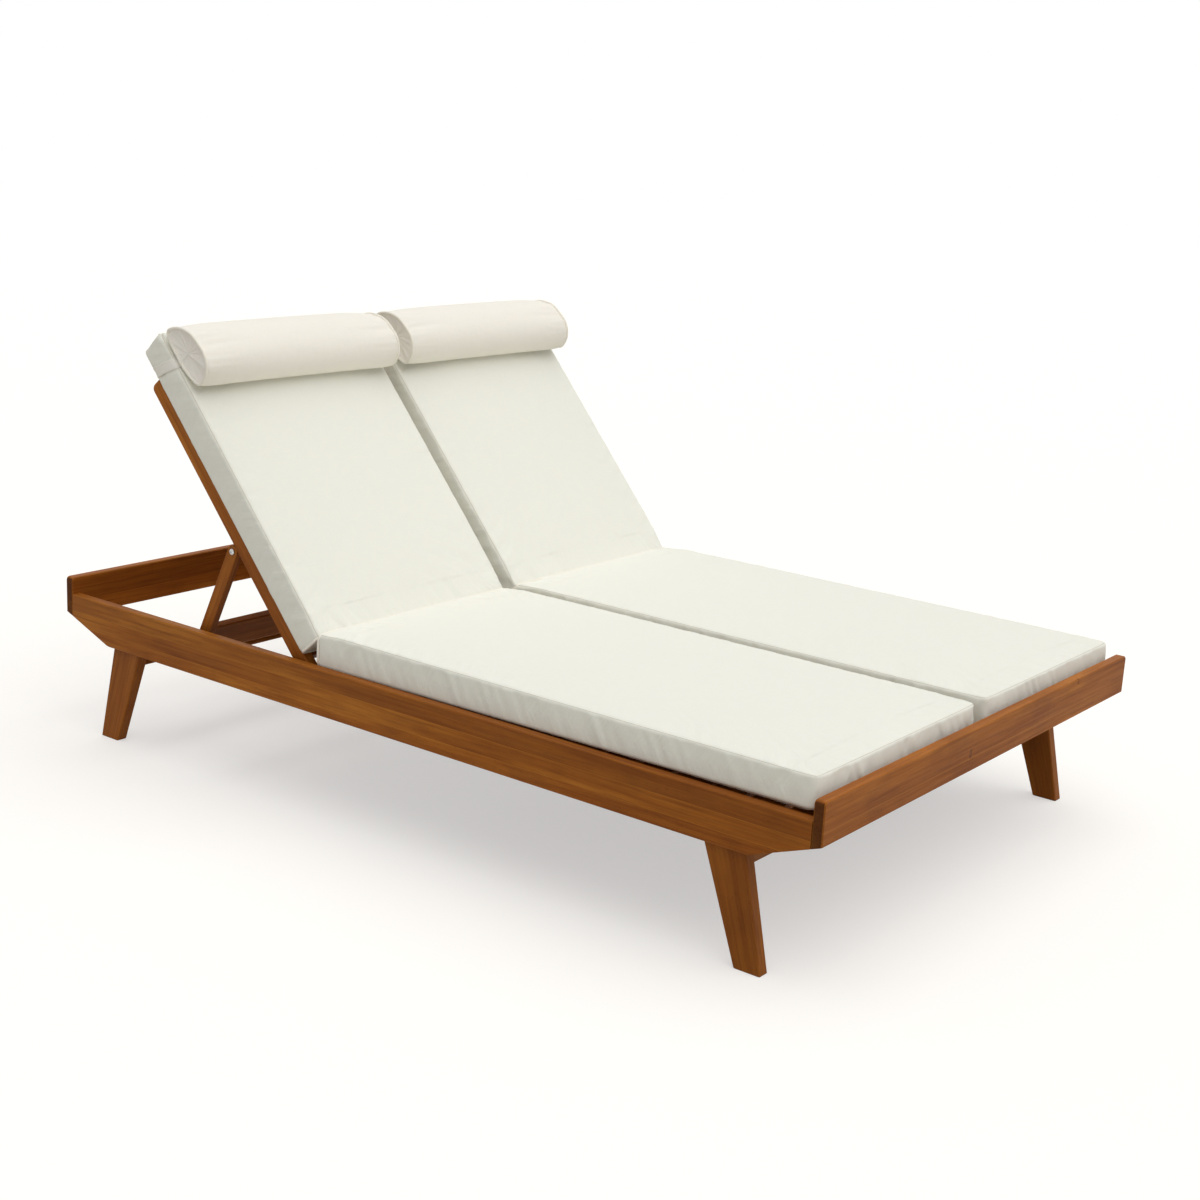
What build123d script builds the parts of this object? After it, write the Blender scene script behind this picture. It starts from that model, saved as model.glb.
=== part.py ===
from build123d import *
from math import cos, pi, radians, sin
import os

# Double chaise lounger: a low timber platform on four raked legs, with two
# backrests side by side. Each backrest turns on two bolts, and a swinging prop
# behind it stands in notched racks. Cushions and head rolls lie on top.
# X runs across, left is -X. Y runs along, the foot end is at -Y. Z is up, and
# the floor is at zero. All lengths are in millimetres.

# Platform
overall_length = 2000.0
overall_width = 1262.0
rail_thickness = 22.0
rail_height = 98.0
rail_floor_clearance = 220.0
end_board_thickness = 22.0
end_board_rise = 38.0
end_cut_length = 147.0
end_cut_rise = 55.0
timber_bevel = 2.0
board_corner_radius = 8.0

# Legs and their cross ties
leg_thickness = 26.0
leg_inset = 10.0
leg_foot_setback = 105.5
leg_foot_width = 56.0
leg_top_setback = 154.3
leg_top_width = 88.0
leg_lap_height = 44.0
leg_foot_bevel = 1.5
leg_bolt_spacing = 40.0
tie_width = 76.0
tie_thickness = 26.0
tie_drop = 4.0
tie_edge_inset = 2.0
tenon_length = 14.0
tenon_width = 50.0
tenon_thickness = 12.0

# Seat deck
slat_drop = 10.0
slat_width = 65.0
slat_thickness = 15.0
slat_gap = 14.0
slat_end_gap = 1.0
ledger_width = 20.0
ledger_height = 25.0
beam_width = 40.0
beam_rear_rise = 8.0
hinge_rail_thickness = 22.0
hinge_rail_height = 50.0
hinge_rail_gap = 12.5

# Backrests
back_angle = 49.0
hinge_setback = 743.5
side_gap = 9.0
stile_width = 25.0
stile_depth = 34.0
stile_length = 712.0
stile_corner_radius = 12.0
back_rail_width = 48.0
back_rail_thickness = 25.0
back_rail_start = 26.0
back_slat_count = 7
back_slat_width = 65.0
back_slat_thickness = 12.0

# Swinging props
prop_width = 28.0
prop_thickness = 17.0
prop_length = 280.0
prop_lean = 24.7
prop_pivot_along = 310.3
prop_pivot_behind = 36.6
foot_board_width = 66.0
foot_board_thickness = 18.0
foot_board_start = 199.0
foot_rod_diameter = 12.0
cleat_thickness = 22.0
cleat_base_width = 78.0
cleat_front_setback = 1.0
cleat_tip_radius = 14.0

# Notched racks
rack_thickness = 15.0
rack_height = 38.0
rack_notch_count = 4
rack_notch_pitch = 40.0
rack_end_margin = 8.0

# Fasteners
bolt_diameter = 8.0
bolt_head_diameter = 14.0
bolt_head_height = 4.0
bolt_head_taper = 18.0
bolt_grip_depth = 16.0
socket_size = 5.0
socket_depth = 2.5
washer_thickness = 1.0
washer_diameter = 17.0
spacer_diameter = 20.0
nut_size = 13.0
nut_height = 6.5
bolt_end_show = 1.5
counterbore_depth = 5.0
screw_diameter = 4.5
screw_head_diameter = 9.0
screw_head_height = 2.5
screw_grip_depth = 13.0
dowel_diameter = 8.0
dowel_board_depth = 14.0
dowel_rail_depth = 28.0
dowel_spacing = 20.0
hidden_side_count = 6
recessed_side_count = 10

# Cushions and head rolls
cushion_side_gap = 7.0
cushion_middle_gap = 36.0
cushion_foot_gap = 10.0
cushion_fold_gap = 45.0
cushion_swell = 7.0
cushion_draw_in = 5.0
cushion_end_inset = 9.0
cushion_end_rise = 16.0
seat_cushion_thickness = 72.0
seat_cushion_crown = 6.0
back_cushion_thickness = 68.0
back_cushion_crown = 6.0
back_cushion_start = 33.0
back_cushion_overhang = 74.0
crown_end_share = 0.4
cushion_station_count = 3
head_roll_side_setback = 2.0
head_roll_width = 156.0
head_roll_depth = 69.0
head_roll_setback = 8.0
head_roll_end_swell = 4.0
head_roll_seam_share = 0.96
head_roll_tip_share = 0.88
head_roll_shoulder = 40.0
strap_width = 24.0
strap_thickness = 1.6
strap_setback = 56.0

# The head roll's outline as shares of its width and depth. Three arcs run from
# the upper corner over the crest to the lower corner and back underneath
roll_outline_shares = (
    (0.494, 0.108),
    (0.337, 0.695),
    (-0.05, 1.0),
    (-0.4, 0.794),
    (-0.476, 0.22),
    (0.06, 0.0),
)

# Clearances between pieces
rest_clearance = 0.3
running_clearance = 0.06
seat_clearance = 0.05
side_play = 0.1
joint_clearance = 0.2
notch_clearance = 0.5
cut_overrun = 5.0

# Places that follow from the sizes above
half_length = overall_length / 2
half_width = overall_width / 2
rail_inner = half_width - rail_thickness
rail_bottom = rail_floor_clearance
rail_top = rail_bottom + rail_height
board_inner = half_length - end_board_thickness
board_top = rail_top + end_board_rise
end_cut_slope = end_cut_rise / end_cut_length
end_cut_start = half_length - end_cut_length
slat_top = rail_top - slat_drop
slat_bottom = slat_top - slat_thickness
tie_top = rail_bottom - tie_drop
tie_bottom = tie_top - tie_thickness
beam_half = beam_width / 2
leg_outer = half_width - leg_inset
leg_inner = leg_outer - leg_thickness
leg_lap_top = rail_bottom + leg_lap_height
leg_bolt_height = rail_bottom + leg_lap_height / 2
hinge_y = half_length - hinge_setback
hinge_z = slat_top - stile_depth / 2
hinge_rail_rear = hinge_y - stile_depth / 2 - hinge_rail_gap
hinge_rail_front = hinge_rail_rear - hinge_rail_thickness
hinge_rail_middle = slat_bottom - hinge_rail_height / 2
deck_rear = hinge_rail_front
cushion_width = rail_inner - cushion_side_gap - cushion_middle_gap / 2
back_cushion_length = stile_length + back_cushion_overhang - back_cushion_start
head_roll_length = cushion_width - head_roll_side_setback * 2
bolt_radius = bolt_diameter / 2
bolt_hole_radius = bolt_radius + seat_clearance
screw_hole_radius = screw_diameter / 2 + seat_clearance
dowel_hole_radius = dowel_diameter / 2 + seat_clearance
rod_radius = foot_rod_diameter / 2
stile_half = stile_depth / 2
slat_rear = stile_half - back_slat_thickness
cleat_front = slat_rear - cleat_front_setback

# Directions up along a backrest and out of its front
back_up = (0, cos(radians(back_angle)), sin(radians(back_angle)))
back_out = (0, -sin(radians(back_angle)), cos(radians(back_angle)))

sides = {"left": -1, "right": 1}
ends = {"foot": -1, "head": 1}
places = ("outer", "inner")

os.makedirs("parts", exist_ok=True)


def save(piece, name):
    """Label a finished piece and write it as its own file."""
    piece.label = name
    export_step(piece, f"parts/{name}.step")


def end_cut_height(y):
    """Height of the slanting end cut at a distance y from the middle."""
    return rail_bottom + (y - end_cut_start) * end_cut_slope


def leg_outer_edge(z):
    """Distance along Y from the middle to a leg's outer edge at height z."""
    lean = (leg_top_setback - leg_foot_setback) * z / rail_bottom
    return half_length - leg_foot_setback - lean


def leg_inner_edge(z):
    """Distance along Y from the middle to a leg's inner edge at height z."""
    width = leg_foot_width + (leg_top_width - leg_foot_width) * z / rail_bottom
    return leg_outer_edge(z) - width


def side_plane(x):
    """Upright plane across X whose own axes are Y and Z."""
    return Plane(origin=(x, 0, 0), x_dir=(0, 1, 0), z_dir=(1, 0, 0))


def end_plane(end):
    """Upright plane where an end board meets the rails. Its own axes are X and Z."""
    return Plane(origin=(0, ends[end] * board_inner, 0), x_dir=(1, 0, 0), z_dir=(0, -1, 0))


def on_back(along, out):
    """Place in Y and Z of a point measured up and out from the hinge line."""
    y = hinge_y + along * back_up[1] + out * back_out[1]
    z = hinge_z + along * back_up[2] + out * back_out[2]
    return y, z


def back_plane(x):
    """Plane across X whose own axes run up the backrest and out of its front."""
    return Plane(origin=(x, hinge_y, hinge_z), x_dir=back_up, z_dir=(1, 0, 0))


prop_y, prop_z = on_back(prop_pivot_along, -prop_pivot_behind)
prop_down = (0, sin(radians(prop_lean)), -cos(radians(prop_lean)))
rod_y = prop_y + prop_length * prop_down[1]
rod_z = prop_z + prop_length * prop_down[2]


def prop_plane(x):
    """Plane across X whose origin is the prop's bolt and whose first axis runs down it."""
    return Plane(origin=(x, prop_y, prop_z), x_dir=prop_down, z_dir=(1, 0, 0))


def inward(side, place):
    """Direction along X from the frame into the backrest at one of its stiles."""
    return -sides[side] if place == "outer" else sides[side]


def frame_face(side, place):
    """X of the rail or beam face beside one stile of a backrest."""
    return sides[side] * (rail_inner if place == "outer" else beam_half)


def stile_near(side, place):
    """X of a stile's face towards the frame."""
    return frame_face(side, place) + inward(side, place) * side_gap


def stile_far(side, place):
    """X of a stile's face towards the middle of its backrest."""
    return stile_near(side, place) + inward(side, place) * stile_width


def bar_near(side, place):
    """X of a prop bar's face towards the frame."""
    washer_room = washer_thickness + side_play
    return stile_far(side, place) - inward(side, place) * (washer_room + prop_thickness)


def leg_bolt_points(end):
    """Places in Y and Z of the two bolts of one leg."""
    middle = (leg_outer_edge(leg_bolt_height) + leg_inner_edge(leg_bolt_height)) / 2
    offsets = (-leg_bolt_spacing / 2, leg_bolt_spacing / 2)
    return [(ends[end] * (middle + offset), leg_bolt_height) for offset in offsets]


def rack_screw_points():
    """Places in Y and Z of the two screws of one rack, between its notches."""
    height = (rail_bottom + rod_z - rod_radius) / 2
    first = rod_y + rack_notch_pitch / 2
    last = rod_y + rack_notch_pitch * (rack_notch_count - 1) - rack_notch_pitch / 2
    return [(first, height), (last, height)]


def end_dowel_points():
    """Places in X and Z of the dowels that hold one end board."""
    low = end_cut_height(board_inner)
    rail_middle = (low + rail_top) / 2
    beam_middle = (low + slat_bottom) / 2
    spread = dowel_spacing / 2
    points = [(-spread, beam_middle), (spread, beam_middle)]
    for sign in sides.values():
        x = sign * (rail_inner + rail_thickness / 2)
        points += [(x, rail_middle - spread), (x, rail_middle + spread)]
    return points


def hinge_dowel_points():
    """Places in Y and Z of the dowels at each end of a hinge rail."""
    y = (hinge_rail_front + hinge_rail_rear) / 2
    spread = dowel_spacing / 2
    return [(y, hinge_rail_middle - spread), (y, hinge_rail_middle + spread)]


def make_side_rail(side):
    """Long board at one side, cut back at both ends, with blind holes inside."""
    sign = sides[side]
    outline = [
        (-board_inner, end_cut_height(board_inner)),
        (-end_cut_start, rail_bottom),
        (end_cut_start, rail_bottom),
        (board_inner, end_cut_height(board_inner)),
        (board_inner, rail_top),
        (-board_inner, rail_top),
    ]
    with BuildPart() as rail:
        with BuildSketch(side_plane(sign * rail_inner)):
            with BuildLine():
                Polyline(*outline, close=True)
            make_face()
        extrude(amount=sign * rail_thickness)
        chamfer(rail.edges().filter_by(Axis.Y), length=timber_bevel)
        bolt_points = leg_bolt_points("foot") + leg_bolt_points("head")
        with BuildSketch(side_plane(sign * rail_inner)):
            with Locations((hinge_y, hinge_z), *bolt_points):
                RegularPolygon(bolt_hole_radius, recessed_side_count, major_radius=False)
        extrude(amount=sign * (bolt_grip_depth + rest_clearance), mode=Mode.SUBTRACT)
        with BuildSketch(side_plane(sign * rail_inner)):
            with Locations(*rack_screw_points()):
                RegularPolygon(screw_hole_radius, hidden_side_count)
        extrude(amount=sign * (screw_grip_depth + rest_clearance), mode=Mode.SUBTRACT)
        with BuildSketch(side_plane(sign * rail_inner)):
            with Locations(*hinge_dowel_points()):
                RegularPolygon(dowel_hole_radius, hidden_side_count)
        extrude(amount=sign * (dowel_board_depth + rest_clearance), mode=Mode.SUBTRACT)
        for end, way in ends.items():
            with BuildSketch(end_plane(end)):
                with Locations(*[point for point in end_dowel_points() if point[0] * sign > beam_half]):
                    RegularPolygon(dowel_hole_radius, hidden_side_count)
            extrude(amount=way * (dowel_rail_depth + rest_clearance), mode=Mode.SUBTRACT)
    save(rail.part, f"side_rail_{side}")


def make_end_board(end):
    """Cross board at one end, standing above the rails and covering their ends."""
    sign = ends[end]
    outline = [
        (sign * board_inner, end_cut_height(board_inner)),
        (sign * half_length, end_cut_height(half_length)),
        (sign * half_length, board_top),
        (sign * board_inner, board_top),
    ]
    with BuildPart() as board:
        with BuildSketch(side_plane(-half_width)):
            with BuildLine():
                Polyline(*outline, close=True)
            make_face()
        extrude(amount=overall_width)
        corners = board.edges().filter_by(Axis.Y).group_by(Axis.Z)[-1]
        fillet(corners, radius=board_corner_radius)
        chamfer(board.edges().filter_by(Axis.X).group_by(Axis.Z)[-1], length=timber_bevel)
        with BuildSketch(end_plane(end)):
            with Locations(*end_dowel_points()):
                RegularPolygon(dowel_hole_radius, hidden_side_count)
        extrude(amount=-sign * (dowel_board_depth + rest_clearance), mode=Mode.SUBTRACT)
    save(board.part, f"{end}_board")


def tie_outer_edge():
    """Distance along Y from the middle to a cross tie's outer edge."""
    return leg_outer_edge(tie_top) - tie_edge_inset


def make_leg(end, side):
    """Raked, tapered leg with a shoulder under the rail and a lap inside it."""
    along, across = ends[end], sides[side]
    tie_middle = along * (tie_outer_edge() - tie_width / 2)
    outline = [
        (along * leg_inner_edge(0), 0),
        (along * leg_outer_edge(0), 0),
        (along * leg_outer_edge(leg_lap_top), leg_lap_top),
        (along * leg_inner_edge(leg_lap_top), leg_lap_top),
    ]
    with BuildPart() as leg:
        with BuildSketch(side_plane(across * leg_inner)):
            with BuildLine():
                Polyline(*outline, close=True)
            make_face()
        extrude(amount=across * leg_thickness)
        slopes = [(edge, edge.tangent_at(0)) for edge in leg.edges()]
        chamfer([edge for edge, slope in slopes if abs(slope.Z) > abs(slope.Y)], length=timber_bevel)
        chamfer(leg.faces().sort_by(Axis.Z)[0].edges(), length=leg_foot_bevel)
        with BuildSketch(side_plane(across * rail_inner)):
            with Locations((0, rail_bottom)):
                lap_cut_height = leg_lap_height + cut_overrun
                Rectangle(overall_length, lap_cut_height, align=(Align.CENTER, Align.MIN))
        extrude(amount=across * leg_thickness, mode=Mode.SUBTRACT)
        with BuildSketch(side_plane(across * leg_inner)):
            with Locations(*leg_bolt_points(end)):
                RegularPolygon(bolt_hole_radius, recessed_side_count, major_radius=False)
        extrude(amount=across * (rail_inner - leg_inner), mode=Mode.SUBTRACT)
        with BuildSketch(side_plane(across * leg_inner)):
            with Locations(*leg_bolt_points(end)):
                recess_radius = bolt_head_diameter / 2 + joint_clearance
                RegularPolygon(recess_radius, recessed_side_count, major_radius=False)
        extrude(amount=across * counterbore_depth, mode=Mode.SUBTRACT)
        with BuildSketch(side_plane(across * leg_inner)):
            with Locations((tie_middle, (tie_top + tie_bottom) / 2)):
                Rectangle(tenon_width + joint_clearance, tenon_thickness + joint_clearance)
        extrude(amount=across * (tenon_length + joint_clearance), mode=Mode.SUBTRACT)
    save(leg.part, f"leg_{end}_{side}")


def make_leg_tie(end):
    """Flat board between a pair of legs, with a stub tenon at each end."""
    middle = ends[end] * (tie_outer_edge() - tie_width / 2)
    with BuildPart() as tie:
        with BuildSketch(side_plane(-leg_inner)):
            with Locations((middle, (tie_top + tie_bottom) / 2)):
                Rectangle(tie_width, tie_thickness)
        extrude(amount=leg_inner * 2)
        chamfer(tie.edges().filter_by(Axis.X), length=timber_bevel)
        with BuildSketch(side_plane(-leg_inner - tenon_length)):
            with Locations((middle, (tie_top + tie_bottom) / 2)):
                Rectangle(tenon_width, tenon_thickness)
        extrude(amount=(leg_inner + tenon_length) * 2)
    save(tie.part, f"leg_tie_{end}")


def make_centre_beam():
    """Beam down the middle, deeper behind the hinges, lying on both leg ties."""
    low_end = end_cut_start + (tie_top - rail_bottom) / end_cut_slope
    rear_top = slat_bottom + beam_rear_rise
    outline = [
        (-board_inner, end_cut_height(board_inner)),
        (-low_end, tie_top),
        (low_end, tie_top),
        (board_inner, end_cut_height(board_inner)),
        (board_inner, rear_top),
        (deck_rear, rear_top),
        (deck_rear, slat_bottom),
        (-board_inner, slat_bottom),
    ]
    with BuildPart() as beam:
        with BuildSketch(side_plane(-beam_half)):
            with BuildLine():
                Polyline(*outline, close=True)
            make_face()
        extrude(amount=beam_width)
        for sign in sides.values():
            with BuildSketch(side_plane(sign * beam_half)):
                with Locations((hinge_y, hinge_z)):
                    RegularPolygon(bolt_hole_radius, recessed_side_count, major_radius=False)
            extrude(amount=-sign * (bolt_grip_depth + rest_clearance), mode=Mode.SUBTRACT)
            with BuildSketch(side_plane(sign * beam_half)):
                with Locations(*rack_screw_points()):
                    RegularPolygon(screw_hole_radius, hidden_side_count)
            extrude(amount=-sign * (screw_grip_depth + rest_clearance), mode=Mode.SUBTRACT)
            with BuildSketch(side_plane(sign * beam_half)):
                with Locations(*hinge_dowel_points()):
                    RegularPolygon(dowel_hole_radius, hidden_side_count)
            extrude(amount=-sign * (dowel_board_depth + rest_clearance), mode=Mode.SUBTRACT)
        for end, way in ends.items():
            with BuildSketch(end_plane(end)):
                with Locations(*[point for point in end_dowel_points() if abs(point[0]) < beam_half]):
                    RegularPolygon(dowel_hole_radius, hidden_side_count)
            extrude(amount=way * (dowel_rail_depth + rest_clearance), mode=Mode.SUBTRACT)
    save(beam.part, "centre_beam")


def make_hinge_rail(side):
    """Cross rail under the fold of the cushions, between a side rail and the beam."""
    sign = sides[side]
    with BuildPart() as rail:
        with BuildSketch(side_plane(sign * beam_half)):
            with Locations(((hinge_rail_front + hinge_rail_rear) / 2, hinge_rail_middle)):
                Rectangle(hinge_rail_thickness, hinge_rail_height)
        extrude(amount=sign * (rail_inner - beam_half))
        for face, way in ((beam_half, sign), (rail_inner, -sign)):
            with BuildSketch(side_plane(sign * face)):
                with Locations(*hinge_dowel_points()):
                    RegularPolygon(dowel_hole_radius, hidden_side_count)
            extrude(amount=way * (dowel_rail_depth + rest_clearance), mode=Mode.SUBTRACT)
    save(rail.part, f"hinge_rail_{side}")


def make_frame_dowels():
    """Dowels that join the end boards and the hinge rails to the rails and the beam."""
    with BuildPart() as dowels:
        for end, sign in ends.items():
            with BuildSketch(end_plane(end).offset(sign * dowel_rail_depth)):
                with Locations(*end_dowel_points()):
                    RegularPolygon(dowel_diameter / 2, hidden_side_count)
            extrude(amount=-sign * (dowel_rail_depth + dowel_board_depth))
        for sign in sides.values():
            for face, way in ((beam_half, sign), (rail_inner, -sign)):
                with BuildSketch(side_plane(sign * face - way * dowel_board_depth)):
                    with Locations(*hinge_dowel_points()):
                        RegularPolygon(dowel_diameter / 2, hidden_side_count)
                extrude(amount=way * (dowel_board_depth + dowel_rail_depth))
    save(dowels.part, "frame_dowels")


def make_slat_ledger(side):
    """Batten inside a side rail that carries the seat slats."""
    sign = sides[side]
    with BuildPart() as ledger:
        with BuildSketch(side_plane(sign * rail_inner)):
            with Locations((-board_inner, slat_bottom)):
                length = deck_rear + board_inner
                Rectangle(length, ledger_height, align=(Align.MIN, Align.MAX))
        extrude(amount=-sign * ledger_width)
    save(ledger.part, f"slat_ledger_{side}")


def make_seat_slats():
    """All the cross slats of the seat deck, evenly spaced up to the hinge rails."""
    room = deck_rear + board_inner
    pitch = slat_width + slat_gap
    count = int((room - slat_width) // pitch) + 1
    first = -board_inner + (room - pitch * (count - 1)) / 2
    with BuildPart() as slats:
        with BuildSketch(Plane.XY.offset(slat_bottom)):
            with Locations(*[(0, first + pitch * number) for number in range(count)]):
                Rectangle((rail_inner - slat_end_gap) * 2, slat_width)
        extrude(amount=slat_thickness)
    save(slats.part, "seat_slats")


def make_rack(side, place):
    """Notched rack, screwed to the frame beside the prop's foot."""
    way = inward(side, place)
    notch_radius = rod_radius + notch_clearance
    rack_top = rail_bottom + rack_height
    span = rack_notch_pitch * (rack_notch_count - 1)
    low_end = rod_y - notch_radius - rack_end_margin
    high_end = rod_y + span + notch_radius + rack_end_margin
    with BuildPart() as rack:
        with BuildSketch(side_plane(frame_face(side, place))):
            with Locations(((low_end + high_end) / 2, (rail_bottom + rack_top) / 2)):
                Rectangle(high_end - low_end, rack_height)
            notches = [(rod_y + rack_notch_pitch * number, rod_z) for number in range(rack_notch_count)]
            with Locations(*notches):
                Circle(notch_radius, mode=Mode.SUBTRACT)
                slot_height = rack_top - rod_z + cut_overrun
                slot_align = (Align.CENTER, Align.MIN)
                Rectangle(notch_radius * 2, slot_height, align=slot_align, mode=Mode.SUBTRACT)
        extrude(amount=way * rack_thickness)
        with BuildSketch(side_plane(frame_face(side, place))):
            with Locations(*rack_screw_points()):
                RegularPolygon(screw_hole_radius, hidden_side_count)
        extrude(amount=way * rack_thickness, mode=Mode.SUBTRACT)
        with BuildSketch(side_plane(frame_face(side, place) + way * rack_thickness)):
            with Locations(*rack_screw_points()):
                RegularPolygon(screw_head_diameter / 2 + joint_clearance, hidden_side_count)
        recess_depth = screw_head_height + rest_clearance
        extrude(amount=-way * recess_depth, mode=Mode.SUBTRACT)
    save(rack.part, f"prop_rack_{side}_{place}")


def make_bolts(name, rows, is_pivot):
    """Button-head bolts along X. Each row has their places, seat and tip. Only the
    bolts that something turns on need a round shank."""
    with BuildPart() as bolts:
        for points, seat, tip in rows:
            way = 1 if tip > seat else -1
            with BuildSketch(side_plane(seat)):
                with Locations(*points):
                    if is_pivot:
                        Circle(bolt_radius)
                    else:
                        RegularPolygon(bolt_radius, hidden_side_count)
            extrude(amount=tip - seat)
            with BuildSketch(side_plane(seat)):
                with Locations(*points):
                    RegularPolygon(bolt_head_diameter / 2, recessed_side_count)
            extrude(amount=-way * bolt_head_height, taper=bolt_head_taper)
            with BuildSketch(side_plane(seat - way * bolt_head_height)):
                with Locations(*points):
                    RegularPolygon(socket_size / 2, 6, major_radius=False)
            extrude(amount=way * socket_depth, mode=Mode.SUBTRACT)
    save(bolts.part, name)


def make_rack_screws():
    """Screws that hold the racks, with their heads sunk below the racks' faces."""
    with BuildPart() as screws:
        for side in sides:
            for place in places:
                face, way = frame_face(side, place), inward(side, place)
                seat = face + way * (rack_thickness - screw_head_height - rest_clearance)
                with BuildSketch(side_plane(seat)):
                    with Locations(*rack_screw_points()):
                        RegularPolygon(screw_head_diameter / 2, hidden_side_count)
                extrude(amount=way * screw_head_height)
                with BuildSketch(side_plane(seat)):
                    with Locations(*rack_screw_points()):
                        RegularPolygon(screw_diameter / 2, hidden_side_count)
                extrude(amount=face - way * screw_grip_depth - seat)
    save(screws.part, "rack_screws")


def make_frame_bolts():
    """Bolts of the legs, and the bolts that the backrests turn on."""
    leg_rows = []
    for end in ends:
        for sign in sides.values():
            seat = sign * (leg_inner + counterbore_depth)
            leg_rows.append((leg_bolt_points(end), seat, sign * (rail_inner + bolt_grip_depth)))
    make_bolts("leg_bolts", leg_rows, is_pivot=False)
    pivot_rows = []
    for side in sides:
        for place in places:
            face, way = frame_face(side, place), inward(side, place)
            seat = stile_far(side, place) + way * side_play
            pivot_rows.append(([(hinge_y, hinge_z)], seat, face - way * bolt_grip_depth))
    make_bolts("pivot_bolts", pivot_rows, is_pivot=True)


def cut_bolt_hole():
    """Cut a flat-sided hole round a bolt that doesn't turn in it."""
    RegularPolygon(bolt_hole_radius, hidden_side_count, major_radius=False, mode=Mode.SUBTRACT)


def make_pivot_spacers():
    """Sleeves on the hinge bolts that keep the stiles off the frame."""
    with BuildPart() as spacers:
        for side in sides:
            for place in places:
                with BuildSketch(side_plane(frame_face(side, place))):
                    with Locations((hinge_y, hinge_z)):
                        RegularPolygon(spacer_diameter / 2, recessed_side_count)
                        cut_bolt_hole()
                extrude(amount=inward(side, place) * (side_gap - side_play))
    save(spacers.part, "pivot_spacers")


def make_back_stile(side, place):
    """Upright of a backrest, round about the hinge bolt and rounded at the top rear."""
    with BuildPart() as stile:
        with BuildSketch(back_plane(stile_near(side, place))):
            with BuildLine():
                rear_top, front_top = (stile_length, -stile_half), (stile_length, stile_half)
                Polyline((0, -stile_half), rear_top, front_top, (0, stile_half))
                ThreePointArc((0, stile_half), (-stile_half, 0), (0, -stile_half))
            make_face()
            Circle(bolt_radius + running_clearance, mode=Mode.SUBTRACT)
        extrude(amount=inward(side, place) * stile_width)
        top_edges = stile.edges().filter_by(Axis.X).sort_by(Axis.Y)
        fillet(top_edges[-1], radius=stile_corner_radius)
        long_edges = [edge for edge in stile.edges() if edge.length > stile_length / 2]
        chamfer(long_edges, length=timber_bevel)
    save(stile.part, f"back_stile_{side}_{place}")


def make_back_crosspieces(side):
    """The two rails and the slats between the stiles of one backrest."""
    start = stile_far(side, "outer")
    span = stile_far(side, "inner") - start
    top_rail_start = stile_length - back_rail_width
    for name, low in (("bottom", back_rail_start), ("top", top_rail_start)):
        with BuildPart() as rail:
            with BuildSketch(back_plane(start)):
                with Locations((low, stile_half)):
                    Rectangle(back_rail_width, back_rail_thickness, align=(Align.MIN, Align.MAX))
            extrude(amount=span)
            chamfer(rail.edges().filter_by(Axis.X), length=timber_bevel)
        save(rail.part, f"back_{name}_rail_{side}")
    first = back_rail_start + back_rail_width
    gap = (top_rail_start - first - back_slat_count * back_slat_width) / (back_slat_count + 1)
    with BuildPart() as slats:
        pitch = back_slat_width + gap
        starts = [first + gap + pitch * number for number in range(back_slat_count)]
        with BuildSketch(back_plane(start)):
            with Locations(*[(low, stile_half) for low in starts]):
                Rectangle(back_slat_width, back_slat_thickness, align=(Align.MIN, Align.MAX))
        extrude(amount=span)
    save(slats.part, f"back_slats_{side}")


def make_prop_cleats(side):
    """Blocks inside the stiles that reach back and carry the prop's bolts."""
    tip = (prop_pivot_along, -prop_pivot_behind)
    base_low = prop_pivot_along - cleat_base_width / 2
    base_high = prop_pivot_along + cleat_base_width / 2
    with BuildPart() as cleats:
        for place in places:
            with BuildSketch(back_plane(stile_far(side, place))):
                with Locations(tip):
                    Circle(cleat_tip_radius)
                with BuildLine():
                    Polyline(
                        (base_low, cleat_front),
                        (base_low, -stile_half),
                        (prop_pivot_along - cleat_tip_radius, -prop_pivot_behind),
                        (prop_pivot_along + cleat_tip_radius, -prop_pivot_behind),
                        (base_high, -stile_half),
                        (base_high, cleat_front),
                        close=True,
                    )
                make_face()
                with Locations(tip):
                    cut_bolt_hole()
            extrude(amount=inward(side, place) * cleat_thickness)
    save(cleats.part, f"prop_cleats_{side}")


def make_prop_hardware(side):
    """Bolts, washers and nuts that the prop of one backrest swings on."""
    rows = []
    for place in places:
        way = inward(side, place)
        seat = bar_near(side, place) - way * side_play
        nut_end = stile_far(side, place) + way * (cleat_thickness + nut_height)
        rows.append(([(prop_y, prop_z)], seat, nut_end + way * bolt_end_show))
    make_bolts(f"prop_bolts_{side}", rows, is_pivot=True)
    with BuildPart() as washers:
        for place in places:
            with BuildSketch(side_plane(stile_far(side, place))):
                with Locations((prop_y, prop_z)):
                    Circle(washer_diameter / 2)
                    cut_bolt_hole()
            extrude(amount=-inward(side, place) * washer_thickness)
    save(washers.part, f"prop_washers_{side}")
    with BuildPart() as nuts:
        for place in places:
            way = inward(side, place)
            with BuildSketch(side_plane(stile_far(side, place) + way * cleat_thickness)):
                with Locations((prop_y, prop_z)):
                    RegularPolygon(nut_size / 2, 6, major_radius=False)
                    cut_bolt_hole()
            extrude(amount=way * nut_height)
    save(nuts.part, f"prop_nuts_{side}")


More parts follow.
